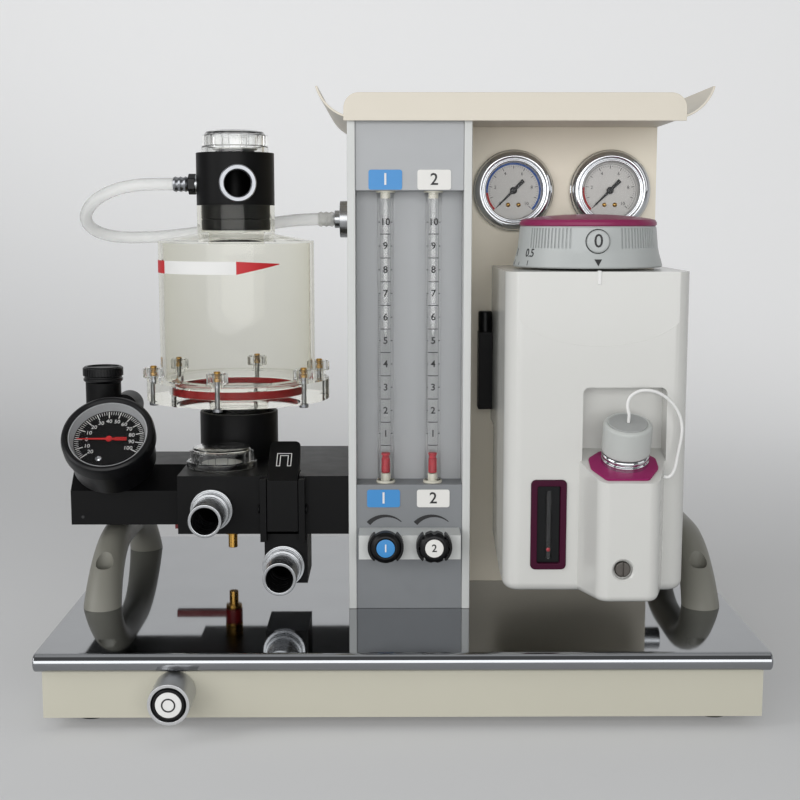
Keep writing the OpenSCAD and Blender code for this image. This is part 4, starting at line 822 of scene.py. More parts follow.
def valve_knob(name, x, node, flutes, plate, mark, ink):
    body = body_of(node)
    depth = KNOB_BACK - KNOB_FRONT
    shape = lathe([(0, 0), (KNOB_R - 1, 0), (KNOB_R, 1.2), (KNOB_R, depth - 2.4),
                   (KNOB_R - 1.4, depth - 0.6), (KNOB_R - 2.6, depth), (6.5, depth),
                   (6.1, depth - 0.7), (0, depth - 0.7)])
    for k in range(flutes):
        groove = drum(2.3, -2, depth + 2, 20)
        shape = carve(shape, moved(groove, spun(360 * k / flutes) @ at(KNOB_R + 1.1, 0, 0)))
    ease(shape, 0.35)
    place = facing((x, KNOB_BACK, KNOB_Z))
    piece(name, moved(shape, place), BLACK_MOULDED, body, [node])
    disc = lathe([(0, depth - 0.7), (6, depth - 0.7), (6, depth - 0.25), (5.6, depth - 0.1),
                  (0, depth)])
    piece(name + "_disc", moved(disc, place), plate, body)
    number = moved(figure(mark, 5, bold=0.1), place @ at(0, 0, depth - 0.06))
    piece(name + "_number", number, ink, body)


valve_knob("left_valve_knob", TUBE_X[0], "n2o_knob", 0, LABEL_BLUE, "1", INK_WHITE)
valve_knob("right_valve_knob", TUBE_X[1], "o2_knob", 8, DIAL_WHITE, "2", INK_BLACK)


# Pressure gauges: chrome bezels, printed dials, hands and lenses

GAUGE_X, GAUGE_Z, WALL_Y, DIAL_Y = (79, 147), 333, 14.6, 11.8
GAUGE_START, GAUGE_SWEEP, GAUGE_TICKS = -135, 270, 50
GAUGE_FACE_R, GAUGE_FACE_T, GAUGE_LENS = 19.8, 0.8, (4, 5.2)
HAND_LIFT = 0.5


def gauge(side, x, bands, pointer):
    place = facing((x, DIAL_Y, GAUGE_Z))
    body = body_of(pointer)
    ticks = []
    for k in range(GAUGE_TICKS + 1):
        degrees = GAUGE_START + GAUGE_SWEEP * k / GAUGE_TICKS
        inner, width = (15.2, 0.4) if k % 5 == 0 else (16.4, 0.2)
        ticks.append((degrees, inner, 17.4, width))
    figures = [(str(2 * k), GAUGE_START + GAUGE_SWEEP * k / 5, 13, 2.3) for k in range(6)]
    piece(side + "_gauge_marks", moved(marks(ticks, figures), place), INK_BLACK)
    for name, inner, outer, start, sweep, finish in bands:
        piece(side + name, moved(arc_band(inner, outer, start, sweep), place), finish)
    screws = bmesh.new()
    for across in (-3.7, 3.7):
        head = lathe([(0, 0.9), (0.9, 0.75), (1.5, 0.3), (1.6, 0), (0, 0)], 24)
        put(screws, head, at(across, -10, 0))
    piece(side + "_gauge_screws", moved(screws, place), BRASS)
    at_rest = place @ at(0, 0, HAND_LIFT) @ spun(-GAUGE_START)
    hand = needle(15.8, 9.8, 2.9, 0.6, 0.9)
    put(hand, lathe([(0, 1.5), (2, 1.5), (2.5, 1.1), (2.5, 0), (0, 0)], 32, eased=0.2))
    piece(side + "_gauge_hand", moved(hand, at_rest), INK_BLACK, body, [pointer])


gauge("left", GAUGE_X[0], [("_red_arc", 17.9, 19.4, -135, 40, INK_RED),
                           ("_blue_arc", 17.9, 19.4, -95, 230, INK_BLUE)], "left_gauge_pointer")
gauge("right", GAUGE_X[1], [("_red_arc", 17.9, 19.4, -135, 52, INK_RED),
                            ("_fine_arc", 18.3, 18.5, -83, 218, INK_BLACK)],
      "right_gauge_pointer")
bezels = bmesh.new()
for x in GAUGE_X:
    put(bezels, lathe([(19.9, 2), (27, 0), (28.4, 1.4), (28.4, 3.8), (27.6, 4.6), (27.6, 5.6),
                       (26.8, 7.6), (25, 9), (23.4, 9.2), (22.5, 8.7), (22.2, 7.9), (21.5, 7.9),
                       (21.2, 8.6), (20.5, 8.6), (19.9, 7.6)], 96, True, 0.25),
        facing((x, WALL_Y, GAUGE_Z)))
piece("gauge_bezels", bezels, CHROME, BODY, ["gauge_cases"])
faces = bmesh.new()
lenses = bmesh.new()
for x in GAUGE_X:
    put(faces, drum(GAUGE_FACE_R, -GAUGE_FACE_T, 0), facing((x, DIAL_Y, GAUGE_Z)))
    put(lenses, drum(GAUGE_FACE_R, *GAUGE_LENS, eased=0.3), facing((x, DIAL_Y, GAUGE_Z)))
piece("gauge_faces", faces, DIAL_WHITE, BODY, ["gauge_dials"])


# Vaporizer shell: sloping underside, filler block, recess and pockets, filler trim, sight frame

VAP_X, VAP_Z, VAP_FRONT, VAP_BACK = (64.5, 180.5), (76, 280.5), -108, 14.6
VAP_LOW_BACK, VAP_STEP_Z = -14, 170
UNDER_FRONT, UNDER_RISE, UNDER_R = -94, 19, 6
FILLER_X, FILLER_Z, FILLER_FRONT, FILLER_NOSE = 140, 76, -134, 18
FILLER_LEFT, FILLER_RIGHT = 31.5, 28
FILLER_LIP, FILLER_SLOPE = 151.7, math.radians(20)
FILLER_SEAT_Y = -110.5
RECESS_HALF, RECESS_BACK, RECESS_TOP = 26.5, -92.5, 208
RECESS_EDGES_X, RECESS_EDGES_Z = (100, 180), (158, 215)
FAR_RIGHT = 300
SIGHT_X, SIGHT_Z, SIGHT_RIM, SIGHT_GAP = (81.5, 104.1), (91, 149), 4, 0.15
DRAIN = (136.5, -133.4, 97)
SHIELD_X, SHIELD_Z, SHIELD_HALF = 123.5, 258, 53
SHIELD_DROP, SHIELD_RISE, SHIELD_SINK = 24, 40, 0.5


def sliced(part, point, normal):
    """Cuts away what lies past a plane and closes the cut."""
    bmesh.ops.bisect_plane(part, geom=part.verts[:] + part.edges[:] + part.faces[:],
                           plane_co=point, plane_no=normal, clear_outer=True)
    bmesh.ops.holes_fill(part, edges=[e for e in part.edges if e.is_boundary])
    bmesh.ops.recalc_face_normals(part, faces=part.faces[:])
    return part


def front_posts(part, front):
    """The upright edges at the front of a block."""
    return [e for e in part.edges if abs(e.verts[0].co.z - e.verts[1].co.z) > 20
            and max(v.co.y for v in e.verts) < front]


def ease_within(part, low, high, width, segments):
    """Rounds the sharp edges inside a box."""
    bevel(part, [e for e in part.edges if e.is_manifold
                 and e.calc_face_angle(0) > math.radians(35)
                 and all(low[k] < v.co[k] < high[k] for v in e.verts for k in range(3))],
          width, segments)


def vaporizer_shell():
    slope_point = (FILLER_X, FILLER_FRONT, FILLER_LIP)
    slope_up = Vector((0, -math.sin(FILLER_SLOPE), math.cos(FILLER_SLOPE)))
    body = block((VAP_X[0], VAP_FRONT, VAP_Z[0]), (VAP_X[1], VAP_LOW_BACK, VAP_Z[1]))
    bevel(body, front_posts(body, VAP_FRONT + 1), 11, 8)
    sliced(body, (0, UNDER_FRONT, VAP_Z[0]),
           Vector((0, UNDER_RISE, UNDER_FRONT - VAP_LOW_BACK)).normalized())
    ease_within(body, (0, VAP_FRONT - 1, VAP_Z[0] - 1),
                (FAR_RIGHT, VAP_LOW_BACK - 1, VAP_Z[0] + UNDER_RISE), UNDER_R, 6)
    rear = block((VAP_X[0], VAP_LOW_BACK - 30, VAP_STEP_Z), (VAP_X[1], VAP_BACK, VAP_Z[1]))
    body = carve(body, rear, "UNION")
    filler = block((FILLER_X - FILLER_LEFT, FILLER_FRONT, FILLER_Z),
                   (FILLER_X + FILLER_RIGHT, VAP_FRONT + 8, FILLER_LIP + 40))
    for vert in filler.verts:
        if vert.co.y < FILLER_FRONT + 1:
            vert.co.x = FILLER_X + math.copysign(FILLER_NOSE, vert.co.x - FILLER_X)
    bevel(filler, front_posts(filler, FILLER_FRONT + 1), 6, 6)
    ease_within(filler, (0, FILLER_FRONT - 1, FILLER_Z - 1),
                (FAR_RIGHT, VAP_FRONT + 9, FILLER_Z + 1), 4.5, 5)
    sliced(filler, slope_point, slope_up)
    body = carve(body, filler, "UNION")
    bmesh.ops.dissolve_limit(body, angle_limit=math.radians(1), verts=body.verts[:],
                             edges=body.edges[:])
    ease(body, 4.6, 5, 30)
    recess = block((FILLER_X - RECESS_HALF, FILLER_FRONT - 10, FILLER_LIP - 30),
                   (FILLER_X + RECESS_HALF, RECESS_BACK, RECESS_TOP), 0, "Y", 4)
    body = carve(body, sliced(recess, slope_point, -slope_up))
    ease_within(body, (RECESS_EDGES_X[0], VAP_FRONT - 1, RECESS_EDGES_Z[0]),
                (RECESS_EDGES_X[1], RECESS_BACK + 1, RECESS_EDGES_Z[1]), 3, 4)
    sight = block((SIGHT_X[0] - SIGHT_GAP, VAP_FRONT - 5, SIGHT_Z[0] - SIGHT_GAP),
                  (SIGHT_X[1] + SIGHT_GAP, VAP_FRONT + 5, SIGHT_Z[1] + SIGHT_GAP), 0, "Y", 3.2)
    body = carve(body, sight)
    well = lathe([(0, -4.4), (6.2, -4.4), (6.2, -1), (7.2, 0.05), (7.2, 20), (0, 20)], 40)
    body = carve(body, moved(well, facing((DRAIN[0], FILLER_FRONT, DRAIN[2]))))
    shield = bmesh.new()
    bmesh.ops.create_cone(shield, cap_ends=True, segments=96, radius1=SHIELD_HALF,
                          radius2=SHIELD_HALF, depth=20)
    moved(shield, facing((SHIELD_X, VAP_FRONT + SHIELD_SINK - 10, SHIELD_Z))
          @ Matrix.Diagonal((1, SHIELD_DROP / SHIELD_HALF, 1, 1)))
    for vert in shield.verts:
        if vert.co.z > SHIELD_Z:
            vert.co.z += SHIELD_RISE
    return carve(body, shield)


piece("vaporizer_shell", vaporizer_shell(), WHITE_GLOSS, BODY, ["vaporizer_cover"], 24)

TRIM_X, TRIM_Z, TRIM_BORE = 138.8, 160.3, 9.6
TRIM_HALF, TRIM_NOSE, TRIM_TAIL, TRIM_T = 21.3, 13.2, 13, 1.4
TRIM_FRONT, TRIM_BEND, TRIM_SHOULDER, TRIM_BACK = -22, -8, 4, 13
half = [(TRIM_NOSE, TRIM_FRONT), (TRIM_HALF, TRIM_BEND), (TRIM_HALF, TRIM_SHOULDER),
        (TRIM_TAIL, TRIM_BACK)]
trim = extruded(half + [(-x, y) for x, y in reversed(half)], TRIM_T)
bevel(trim, [e for e in trim.edges if abs(e.verts[0].co.z - e.verts[1].co.z) > 1], 1.8, 4)
trim = carve(trim, moved(drum(TRIM_BORE, -3, 5, 48), at(FILLER_X - TRIM_X, 0, 0)))
ease(trim, 0.3)
trim_place = at(TRIM_X, FILLER_SEAT_Y, TRIM_Z) @ Matrix.Rotation(FILLER_SLOPE, 4, "X")
piece("filler_trim", moved(trim, trim_place), TRIM_MAGENTA, BODY, ["vaporizer_trim"])

rim = block((SIGHT_X[0], VAP_FRONT - 1.5, SIGHT_Z[0]), (SIGHT_X[1], VAP_FRONT + 4, SIGHT_Z[1]),
            0, "Y", 3.1)
rim = carve(rim, block((SIGHT_X[0] + SIGHT_RIM, VAP_FRONT - 9, SIGHT_Z[0] + SIGHT_RIM),
                       (SIGHT_X[1] - SIGHT_RIM, VAP_FRONT + 9, SIGHT_Z[1] - SIGHT_RIM),
                       0, "Y", 1.2))
piece("sight_frame", ease(rim, 0.6, 3), SHADED_MAGENTA)


# Vaporizer: concentration dial, filler cap, drain and level tube

DIAL_AXIS = (122.5, -52)
RING_LOW, RING_HIGH, RING_FOOT_R = 282, 308.5, 49
GRIP_LOW, GRIP_HIGH, GRIP_LOW_R, GRIP_HIGH_R = 294.6, 307.2, 45.9, 44.7
RING_STEPS = 224
DIAL_BODY = "concentration_dial"
dial_post = at(*DIAL_AXIS, 0)
ZERO, ZERO_BODY = (122.5, -100.2, 299.05), "zero_button_body"
NUMBER_Z, TICK_LOW, TICK_HIGH, FINE_HIGH = 291.2, 283.4, 286.6, 285.4
FINE_COUNT, FINE_START, FINE_TURN = 12, 73, 14


def grip_ring():
    """The dial's ring: a flared skirt under a band with groups of grip grooves."""
    shape = lathe([(20.6, RING_LOW), (RING_FOOT_R - 0.8, RING_LOW), (RING_FOOT_R, RING_LOW + 0.8),
                   (48.3, RING_LOW + 3.6), (46.7, RING_LOW + 8.8), (GRIP_LOW_R, GRIP_LOW),
                   (GRIP_HIGH_R, GRIP_HIGH), (GRIP_HIGH_R - 0.3, RING_HIGH - 0.6),
                   (GRIP_HIGH_R - 0.9, RING_HIGH), (20.6, RING_HIGH)], RING_STEPS, True)
    band = [f for f in shape.faces if GRIP_LOW < f.calc_center_median().z < GRIP_HIGH
            and f.calc_center_median().xy.length > 40]
    for face in band:
        middle = face.calc_center_median()
        turn = math.degrees(math.atan2(middle.x, -middle.y))
        step = int(round((turn + 360) / (360 / RING_STEPS) - 0.5))
        across = abs(turn) if abs(turn) < 90 else 180 - abs(turn)
        if step % 2 == 0 and 19 < across < 61:
            sunk = bmesh.ops.extrude_discrete_faces(shape, faces=[face])["faces"][0]
            bmesh.ops.translate(shape, vec=-sunk.normal * 0.9, verts=sunk.verts[:])
    return shape


shape = grip_ring()
pocket = drum(7.8, 0, 30, 48)
shape = carve(shape, moved(pocket, facing((0, -36, ZERO[2]))))
piece("dial_grip_ring", moved(shape, dial_post), DIAL_GREY, DIAL_BODY, ["dial_ring"])

cap = lathe([(0, RING_HIGH), (44, RING_HIGH), (44.8, RING_HIGH + 0.8), (44.8, RING_HIGH + 2.4),
             (43.7, RING_HIGH + 4), (40.5, RING_HIGH + 4.8), (30, RING_HIGH + 6.3),
             (15, RING_HIGH + 7.4), (0, RING_HIGH + 7.8)], 128)
piece("dial_dome", moved(cap, dial_post), MAGENTA, DIAL_BODY, ["dial_cap"])

SKIRT = [(RING_LOW + 0.8, RING_FOOT_R), (RING_LOW + 3.6, 48.3), (RING_LOW + 8.8, 46.7),
         (GRIP_LOW, GRIP_LOW_R)]


def skirt_r(z):
    """Radius of the dial's skirt at a height."""
    for (low, wide), (high, slim) in zip(SKIRT, SKIRT[1:]):
        if z <= high:
            break
    return wide + (slim - wide) * (z - low) / (high - low)


DIAL_VALUES = [("0.5", 60), ("1", 84), ("1.5", 105), ("2", 125), ("2.5", 145), ("3", 165),
               ("4", 198), ("5", 231)]
scale = bmesh.new()
for text, degrees in DIAL_VALUES:
    number = moved(figure(text, 5.2, bold=0.06), at(0, NUMBER_Z, 0.02))
    put(scale, wrapped(number, skirt_r), dial_post @ spun(-degrees))
    put(scale, wrapped(block((-0.25, TICK_LOW, 0.02), (0.25, TICK_HIGH, INK)), skirt_r),
        dial_post @ spun(-degrees))
for k in range(FINE_COUNT):
    put(scale, wrapped(block((-0.18, TICK_LOW, 0.02), (0.18, FINE_HIGH, INK)), skirt_r),
        dial_post @ spun(-FINE_START - FINE_TURN * k))
arrow = extruded([(-2.4, 287.9), (0, 283.6), (2.4, 287.9)], INK)
put(scale, wrapped(moved(arrow, at(0, 0, 0.05)), skirt_r), dial_post)
piece("dial_scale", scale, INK_BLACK, DIAL_BODY)

button = lathe([(0, -9), (7.2, -9), (7.2, -0.9), (6.6, -0.2), (5.8, 0), (0, 0)], eased=0.2)
piece("zero_lock_button", moved(button, facing(ZERO)), DIAL_GREY, ZERO_BODY, ["zero_button"])
number = figure("0", 8.4, bold=0.08)
piece("zero_lock_number", moved(number, facing(ZERO)), INK_BLACK, ZERO_BODY)
piece("dial_index", block((121.4, -108.2, 272.5), (123.6, -104, 281.2), 0.5), INK_WHITE)

FILLER_BASE, FILLER_AXIS = (FILLER_X, FILLER_SEAT_Y, 160.253), (0, -0.342, 0.9397)
filler_place = along(FILLER_AXIS, FILLER_BASE)
CAP_BODY = "filler_cap_body"
cap = lathe([(0, 8.6), (13.8, 8.6), (14.8, 9.2), (15.3, 10.4), (15.3, 26.8), (14.7, 28.2),
             (13.2, 29), (12.4, 28.5), (0, 28.5)], 96, eased=0.25)
piece("filler_cap_grip", moved(cap, filler_place), CAP_WHITE, CAP_BODY, ["filler_cap"])
top = lathe([(0, 28.4), (12, 28.4), (12, 28.9), (11.6, 29.2), (1.6, 29.2), (1.3, 28.7), (0, 28.7)],
            80, eased=0.15)
piece("filler_cap_top", moved(top, filler_place), CAP_GREY, CAP_BODY)
rings = lathe([(10, 2), (14.4, 2), (15, 2.6), (15, 4.2), (14.1, 4.8), (14.1, 5.2), (15, 5.8),
               (15, 7.4), (14.4, 8.2), (10, 8.6)], 96, True, 0.2)
piece("filler_cap_rings", moved(rings, filler_place), CHROME, CAP_BODY)

screw = lathe([(0, -3.6), (5, -3.6), (5, -1.6), (4.4, -1), (3.9, -1), (0, -1)])
screw = carve(screw, block((-0.8, -4.2, -2.6), (0.8, 4.2, 1)))
ease(screw, 0.2)
piece("drain_screw_head", moved(screw, facing(DRAIN)), DARK_STEEL, "drain_screw_body",
      ["drain_screw"])

LEVEL, LEVEL_LOW, LEVEL_TALL, LEVEL_RISE = (93, -106), 98, 44, 4
tube = drum(2.3, 0, LEVEL_TALL, 32, 0.2, 1.7)
piece("level_tube", moved(tube, at(*LEVEL, LEVEL_LOW)), GLASS)
ball = lathe([(0, 0), (1.1, 0.3), (1.5, 1.4), (1.1, 2.5), (0, 2.9)], 24)
piece("level_ball", moved(ball, at(*LEVEL, LEVEL_LOW + LEVEL_RISE)), RED_FLOAT)


# Manometer: black case, silver inner ring, black dial with white marks and a red hand

MANOMETER_FOOT, MANOMETER_TILT = (-199.4, -12, 136), 45
MANOMETER_DIAL = 39.9
gauge_place = (Matrix.Translation(MANOMETER_FOOT)
               @ Matrix.Rotation(math.radians(MANOMETER_TILT), 4, "X"))
dial_place = gauge_place @ at(0, 0, MANOMETER_DIAL)
DEGREES_EACH = 208 / 100
ZERO_AT = -90

case = lathe([(0, 12.1), (22, 12.1), (26.5, 13.5), (28.8, 17), (29.4, 34), (30.4, 36.4),
              (31.75, 37.6), (31.75, 44.8), (30.9, 47.2), (29.6, 48.1), (28.2, 48.1),
              (26.9, 46.8), (26.75, 39.1), (0, 39.1)], 96)
piece("manometer_barrel", moved(case, gauge_place), BLACK_MOULDED, BODY, ["manometer_case"])
ring = lathe([(26.7, 39.9), (26.7, 46.2), (26.1, 46.2), (24.2, 40.4), (24.2, 39.9)], 96, True)
piece("manometer_inner_ring", moved(ring, gauge_place), SILVER_RING)
face = drum(26.7, 39.1, MANOMETER_DIAL, 96)
piece("manometer_face", moved(face, gauge_place), BLACK_ANODISED)
ticks = []
for k in range(-10, 51):
    inner, width = (18.2, 0.62) if k % 5 == 0 else (20.8, 0.3)
    ticks.append((ZERO_AT + DEGREES_EACH * 2 * k, inner, 23.6, width))
figures = [(str(abs(n)), ZERO_AT + DEGREES_EACH * n, 15.4, 2.9) for n in range(-20, 101, 10)]
piece("manometer_marks", moved(marks(ticks, figures), dial_place), INK_WHITE)
hand = needle(22, 12, 2, 0.6, 0.7)
put(hand, block((-1.3, -12, 0), (1.3, -4, 0.7), 0.2))
put(hand, lathe([(0, 1.6), (1.8, 1.4), (2.2, 0.8), (2.2, 0), (0, 0)], 32))
piece("manometer_hand", moved(hand, dial_place @ at(0, 0, HAND_LIFT) @ spun(-ZERO_AT)),
      POINTER_RED, "manometer_pointer_body", ["manometer_pointer"])
knob = lathe([(0, 2.4), (1.2, 2.2), (2.1, 1.4), (2.4, 0), (0, 0)], 32)
piece("manometer_set_screw", moved(knob, dial_place @ at(-5, -16.5, 0)), CHROME)
put(lenses, drum(26.4, 45.9, 47, eased=0.3), gauge_place)
piece("dial_lenses", lenses, LENS, BODY, ["gauge_lenses"])


# Pressure limiting valve knob

RELIEF = (-214, 15)
knob = lathe([(0, 197.8), (13.2, 197.8), (13.9, 198.6), (13.9, 200), (13.2, 200.6), (13.2, 201.4),
              (13.8, 202), (13.8, 207.6), (12.9, 208.6), (11.6, 208.6), (11.2, 207.6),
              (0, 207.2)], 120)
ribbed(knob, 202.1, 207.5, 40, 0.68, 0.45)
ease(knob, 0.15)
piece("relief_knob", moved(knob, at(*RELIEF, 0)), BLACK_MOULDED, body_of("apl_knob"), ["apl_knob"])


# Clear valve domes with grip ribs

ABSORBER = (-119.5, 38)
absorber_post = at(*ABSORBER, 0)
LEFT_DOME, TOP_DOME = (-126, -16, 141), (*ABSORBER, 360)


def dome(place, flange_r, flange_h, cup_r, high):
    wall = 2.4
    shape = lathe([(0, high), (cup_r - 4.5, high), (cup_r - 1.4, high - 0.9), (cup_r, high - 3),
                   (cup_r, flange_h), (flange_r - 0.6, flange_h), (flange_r, flange_h - 0.6),
                   (flange_r, 0), (cup_r - wall, 0), (cup_r - wall, high - 3.6),
                   (cup_r - 4.6, high - wall), (0, high - wall)], 80)
    ribbed(shape, flange_h + 0.1, high - 3.1, 10, 0.37, 1.5)
    ease(shape, 0.3, 2, 50)
    return moved(shape, Matrix.Translation(place))


domes = dome(LEFT_DOME, 24.4, 5, 21, 15)
put(domes, dome(TOP_DOME, 24, 5, 22, 15.8))
piece("valve_cups", domes, CLEAR_MOULDED, BODY, ["valve_domes"])


# Absorber: clamp knobs with inserts and bolts, gasket, jar, neck spigot and fill band

CLAMP_RING, CLAMP_FIRST, CLAMP_COUNT = 63, 23, 6
JAR_R = 56.25
heads, inserts, bolts = bmesh.new(), bmesh.new(), bmesh.new()
for k in range(CLAMP_COUNT):
    place = absorber_post @ spun(CLAMP_FIRST + 360 * k / CLAMP_COUNT) @ at(CLAMP_RING, 0, 0)
    head = lathe([(2.6, 197.7), (4.6, 197.7), (5, 200), (6.8, 200.5), (6.8, 207), (6, 208),
                  (2.6, 208)], 36, True)
    ribbed(head, 200.6, 206.9, 6, 0.5, 1)
    ease(head, 0.25, 2, 50)
    put(heads, head, place)
    insert = lathe([(0, 202), (2.4, 202), (2.4, 204.4), (1.8, 204.8), (1.8, 205.6), (2.4, 206),
                    (2.4, 208.4), (1.8, 209), (0, 209)], 24)
    put(inserts, insert, place)
    bolt = lathe([(0, 180.5), (3, 180.5), (3.3, 180.9), (3.3, 183), (1.7, 183), (1.7, 202),
                  (0, 202)], 24)
    put(bolts, bolt, place)
piece("clamp_heads", heads, CLEAR_MOULDED, BODY, ["clamp_knobs"])
piece("clamp_inserts", inserts, BRASS)
piece("clamp_bolts", bolts, STEEL)

GASKET_R, GASKET_Z = (43.5, 48.4), (186.9, 192.6)
FLANGE_R, FLANGE_SEAM = 66.4, (188.5, 191.9)
MOUTH_R, MOUTH_Z = 25, (304, 330)


def gasket_ring(gap):
    """The soft ring between the jar and its base, or the groove that holds it."""
    ring = drum(GASKET_R[1] + gap, GASKET_Z[0] - gap, GASKET_Z[1] + gap, 128,
                bore=GASKET_R[0] - gap)
    return moved(ring, absorber_post)


piece("absorber_gasket", ease(gasket_ring(0), 0.5), RED_GASKET, BODY, ["canister_gasket"])
seam = drum(FLANGE_R, *FLANGE_SEAM, 128, bore=GASKET_R[0])
jar = carve(copied("canister"), copied("canister_base"), "UNION")
jar = carve(jar, moved(seam, absorber_post), "UNION")
jar = carve(jar, gasket_ring(0.05))
jar = carve(jar, moved(drum(MOUTH_R, *MOUTH_Z), absorber_post))
piece("absorber_jar", ease(jar, 0.5), ACRYLIC, BODY, ["canister", "canister_base"])
spigot = lathe([(20.4, 305), (24, 305), (24.8, 306), (24.8, 312.4), (24.2, 313), (24.8, 313.6),
                (24.8, 323), (20.4, 323)], 80, True)
piece("head_spigot", moved(spigot, absorber_post), BLACK_MOULDED)

BAND_LOW, BAND_HIGH, BAND_T, BAND_GAP, BAND_CUTS = 275, 284, 0.25, 0.05, 24


def jar_band(name, start, end, finish, pointed=False):
    """A sticker round the jar between two angles from its front, positive to the right."""
    strip = block((math.radians(start) * JAR_R, BAND_LOW, BAND_GAP),
                  (math.radians(end) * JAR_R, BAND_HIGH, BAND_GAP + BAND_T))
    if pointed:
        for vert in strip.verts:
            if vert.co.x > math.radians((start + end) / 2) * JAR_R:
                vert.co.y = (BAND_LOW + 3 * BAND_HIGH) / 4 + (vert.co.y - BAND_LOW) * 0.06
    bmesh.ops.subdivide_edges(
        strip, edges=[e for e in strip.edges if abs(e.verts[0].co.x - e.verts[1].co.x) > 1],
        cuts=BAND_CUTS)
    piece(name, moved(wrapped(strip, JAR_R), absorber_post), finish)


jar_band("fill_band_left", -88, -57, INK_RED)
jar_band("fill_band_middle", -57, 6, INK_WHITE)
jar_band("fill_band_right", 6, 38, INK_RED, True)


# Selector lever with its mark, and small fittings: port ring, hose nut, pin, a black cap as painted
# shade over the bracket fitting, ferrules

LEVER_X, LEVER_MARK, LEVER_SLOPE = -80.5, (-39.5, 149.95), 29.9
MARK_HALF, MARK_LEG, MARK_REACH, MARK_LINE = 5.1, 2.2, 6.8, 0.5
HEAD_R, PORT_Z, PORT_TURN = 28, 338, math.radians(9.6)
LEFTWARD = (-1, 0, 0)
HOSE_NUT, HEAD_FERRULE = (-150.6, ABSORBER[1], PORT_Z), (-153.4, ABSORBER[1], PORT_Z)
WALL_FERRULE, FERRULE_R = (-49.2, 62, 313), 4.7
PIN, BRACKET_FITTING = (-222.9, -23, 106.5), (59.55, 7.3)

lever = copied("selector_lever")
LEVER_BACK = max(v.co.y for v in lever.verts)
bevel(lever, [e for e in lever.edges if all(v.co.y > LEVER_BACK - 1 for v in e.verts)
              and abs(e.verts[0].co.x - e.verts[1].co.x) < 1
              and abs(e.verts[0].co.z - e.verts[1].co.z) > 3], 4, 6)
piece("lever_plate", ease(lever, 0.8, 3), BLACK_ANODISED, body_of("selector_lever"),
      ["selector_lever"])

mark = bmesh.new()
for half, top in ((MARK_HALF, MARK_REACH), (MARK_HALF - MARK_LEG, MARK_REACH - MARK_LEG)):
    put(mark, block((-half, top - MARK_LINE, 0), (half, top, INK)))
    for x in (-half, half - MARK_LINE):
        put(mark, block((x, -MARK_REACH, 0), (x + MARK_LINE, top, INK)))
for x in (-MARK_HALF, MARK_HALF - MARK_LEG):
    put(mark, block((x, -MARK_REACH, 0), (x + MARK_LEG, MARK_LINE - MARK_REACH, INK)))
mark_place = at(LEVER_X, *LEVER_MARK) @ Matrix.Rotation(math.radians(LEVER_SLOPE), 4, "X")
piece("lever_mark", moved(mark, mark_place), INK_WHITE, "selector_lever_body")

port_axis = Vector((math.sin(PORT_TURN), -math.cos(PORT_TURN), 0))
port_place = along(port_axis, Vector((*ABSORBER, PORT_Z)) + port_axis * HEAD_R)
ring = lathe([(9.4, -5), (9.4, 2.3), (10.1, 3.1), (12.4, 3.1), (13.15, 2.3), (13.15, -1.5),
              (10.2, -1.5), (10.2, -5)], 80, True)
piece("head_port_ring", moved(ring, port_place), STEEL)
nut = bmesh.new()
bmesh.ops.create_cone(nut, cap_ends=True, segments=6, radius1=7.6, radius2=7.6, depth=5.4)
ease(nut, 0.6, 3)
piece("head_hose_nut", moved(nut, along(LEFTWARD, HOSE_NUT)), BLACK_MOULDED)
pin = drum(1.1, 0.02, -1, 24)
piece("bar_pin", moved(pin, facing(PIN)), INK_BLACK)

# painted shade: a black cap over the bright bracket fitting, where it sits in shadow
cover = lathe([(0, 234), (4.8, 234), (4.8, 247.6), (4.2, 248.4), (0, 248.4)], 40)
piece("bracket_fitting_shade_cap", moved(cover, at(*BRACKET_FITTING, 0)), BLACK_MOULDED)


def ferrule(reach, thick):
    """A ribbed sleeve over a hose end."""
    points = [(thick - 0.6, 0)]
    for k in range(3):
        points += [(thick + 0.2, reach * (k + 0.1) / 3), (thick + 0.9, reach * (k + 0.5) / 3),
                   (thick + 0.2, reach * (k + 0.9) / 3)]
    return lathe(points + [(thick - 0.6, reach)], 40, True)


piece("hose_head_ferrule", moved(ferrule(11, FERRULE_R), along(LEFTWARD, HEAD_FERRULE)), STEEL)
piece("hose_wall_ferrule", moved(ferrule(12, FERRULE_R), along(LEFTWARD, WALL_FERRULE)), HOSE_CLEAR)


# Stage: a pale sweep and soft studio light

FLOOR_TONE, WALL_TONE = tint((196, 197, 198)), tint((206, 207, 208))
# painted light: the sweep grows brighter towards the back, the top and the right
GLOW_LOW, GLOW_HIGH, GLOW_SIDE = 0.2, 2, 0.6
FLOOR_GLOW, WALL_GLOW = 0.14, 0.42
WORLD_TONE, WORLD_LIGHT = (0.98, 0.99, 1, 1), 0.16
SWEEP = (30000, -2500, 1500, 3000, 600)


def sweep_paper():
    """Grey floor under a paler wall, with painted light: tone and glow grow towards the back, the top
    and the right; the glow shows to the eye and in reflections but lights nothing.
    """
    made = Finish("sweep_paper", Roughness=0.8, Emission_Strength=1.0)
    place = made.coords()
    x, y, z = (made.node("ShaderNodeSeparateXYZ", {}, {"Vector": place}, output=k) for k in range(3))
    rise = made.node("ShaderNodeMapRange", {"interpolation_type": "SMOOTHSTEP"}, {
        "Value": y + z + x * GLOW_SIDE, "From Min": GLOW_LOW, "From Max": GLOW_HIGH})
    made.feed("Base Color", made.mixed(rise, FLOOR_TONE, WALL_TONE))
    seen = made.node("ShaderNodeLightPath", output="Is Camera Ray")
    for ray in ("Is Glossy Ray", "Is Transmission Ray"):
        seen = made.node("ShaderNodeMath", {"operation": "MAXIMUM"}, {
            0: seen, 1: made.node("ShaderNodeLightPath", output=ray)})
    made.feed("Emission Color", made.mixed(
        seen * (rise * (WALL_GLOW - FLOOR_GLOW) + FLOOR_GLOW), (0, 0, 0, 1), (1, 1, 1, 1)))
    return made.material


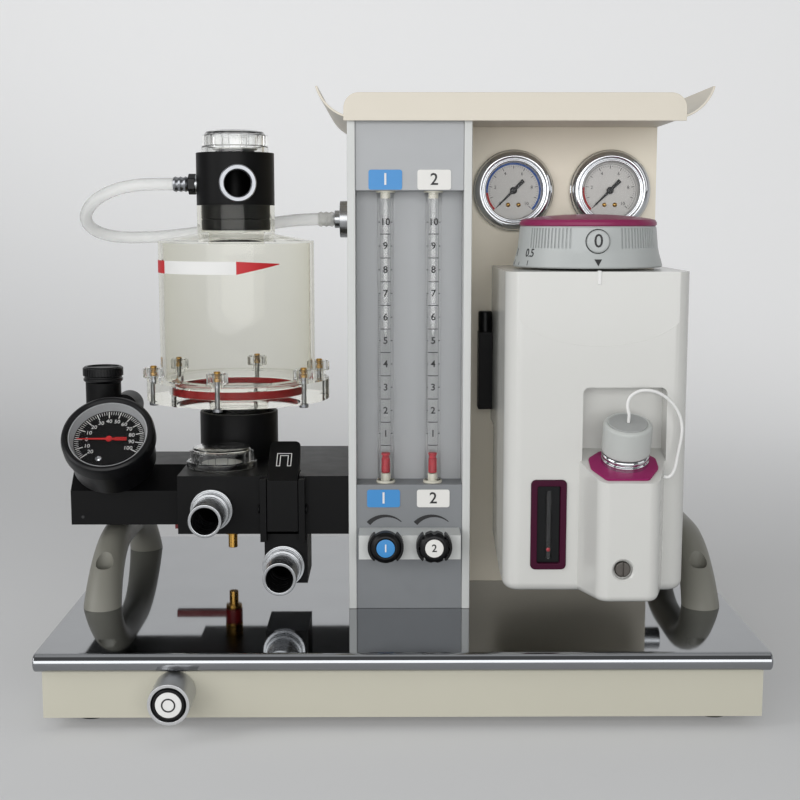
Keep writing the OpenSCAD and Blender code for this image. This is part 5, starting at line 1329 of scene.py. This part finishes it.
def stage_sweep():
    """A floor that bends up into a wall."""
    half, front, back, top, bend = SWEEP
    shape = bmesh.new()
    line = [shape.verts.new((-half, front, 0)), shape.verts.new((-half, back - bend, 0))]
    shape.edges.new(line)
    rounded = bmesh.ops.spin(
        shape, geom=[line[1]], cent=(-half, back - bend, bend), axis=(1, 0, 0),
        angle=math.radians(90), steps=12)
    last = rounded["geom_last"][0]
    up = shape.verts.new((-half, back, top))
    shape.edges.new((last, up))
    bmesh.ops.remove_doubles(shape, verts=shape.verts[:], dist=0.01)
    wide = bmesh.ops.extrude_edge_only(shape, edges=shape.edges[:])
    far_side = [v for v in wide["geom"] if isinstance(v, bmesh.types.BMVert)]
    bmesh.ops.translate(shape, verts=far_side, vec=(2 * half, 0, 0))
    bmesh.ops.scale(shape, verts=shape.verts[:], vec=(MM, MM, MM))
    bmesh.ops.recalc_face_normals(shape, faces=shape.faces[:])
    mesh = bpy.data.meshes.new("studio_sweep")
    shape.to_mesh(mesh)
    shape.free()
    for face in mesh.polygons:
        face.use_smooth = True
    mesh.materials.append(sweep_paper())
    sweep = bpy.data.objects.new("studio_sweep", mesh)
    bpy.context.scene.collection.objects.link(sweep)
    sweep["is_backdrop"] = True


def soft_lamp(name, place, aim, size, power):
    lamp = bpy.data.lights.new(name, "AREA")
    lamp.shape = "RECTANGLE"
    lamp.size, lamp.size_y = size[0] * MM, size[1] * MM
    lamp.energy = power
    holder = bpy.data.objects.new(name, lamp)
    holder.location = Vector(place) * MM
    look = (Vector(aim) - Vector(place)).normalized()
    holder.rotation_euler = look.to_track_quat("-Z", "Y").to_euler()
    bpy.context.scene.collection.objects.link(holder)


stage_sweep()
soft_lamp("front_softbox", (-200, -1900, 560), (0, 0, 220), (2800, 1000), 26)
soft_lamp("left_softbox", (-1500, -700, 900), (0, 0, 200), (900, 1200), 10)
soft_lamp("right_softbox", (1500, -700, 900), (0, 0, 200), (900, 1200), 3)
soft_lamp("top_softbox", (0, 100, 1900), (0, 0, 0), (1600, 1200), 3)
world = bpy.data.worlds.new("studio_world")
bpy.context.scene.world = world
world.use_nodes = True
sky = world.node_tree.nodes["Background"].inputs
sky["Color"].default_value = WORLD_TONE
sky["Strength"].default_value = WORLD_LIGHT
bpy.context.scene.view_settings.view_transform = "Standard"

low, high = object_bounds()
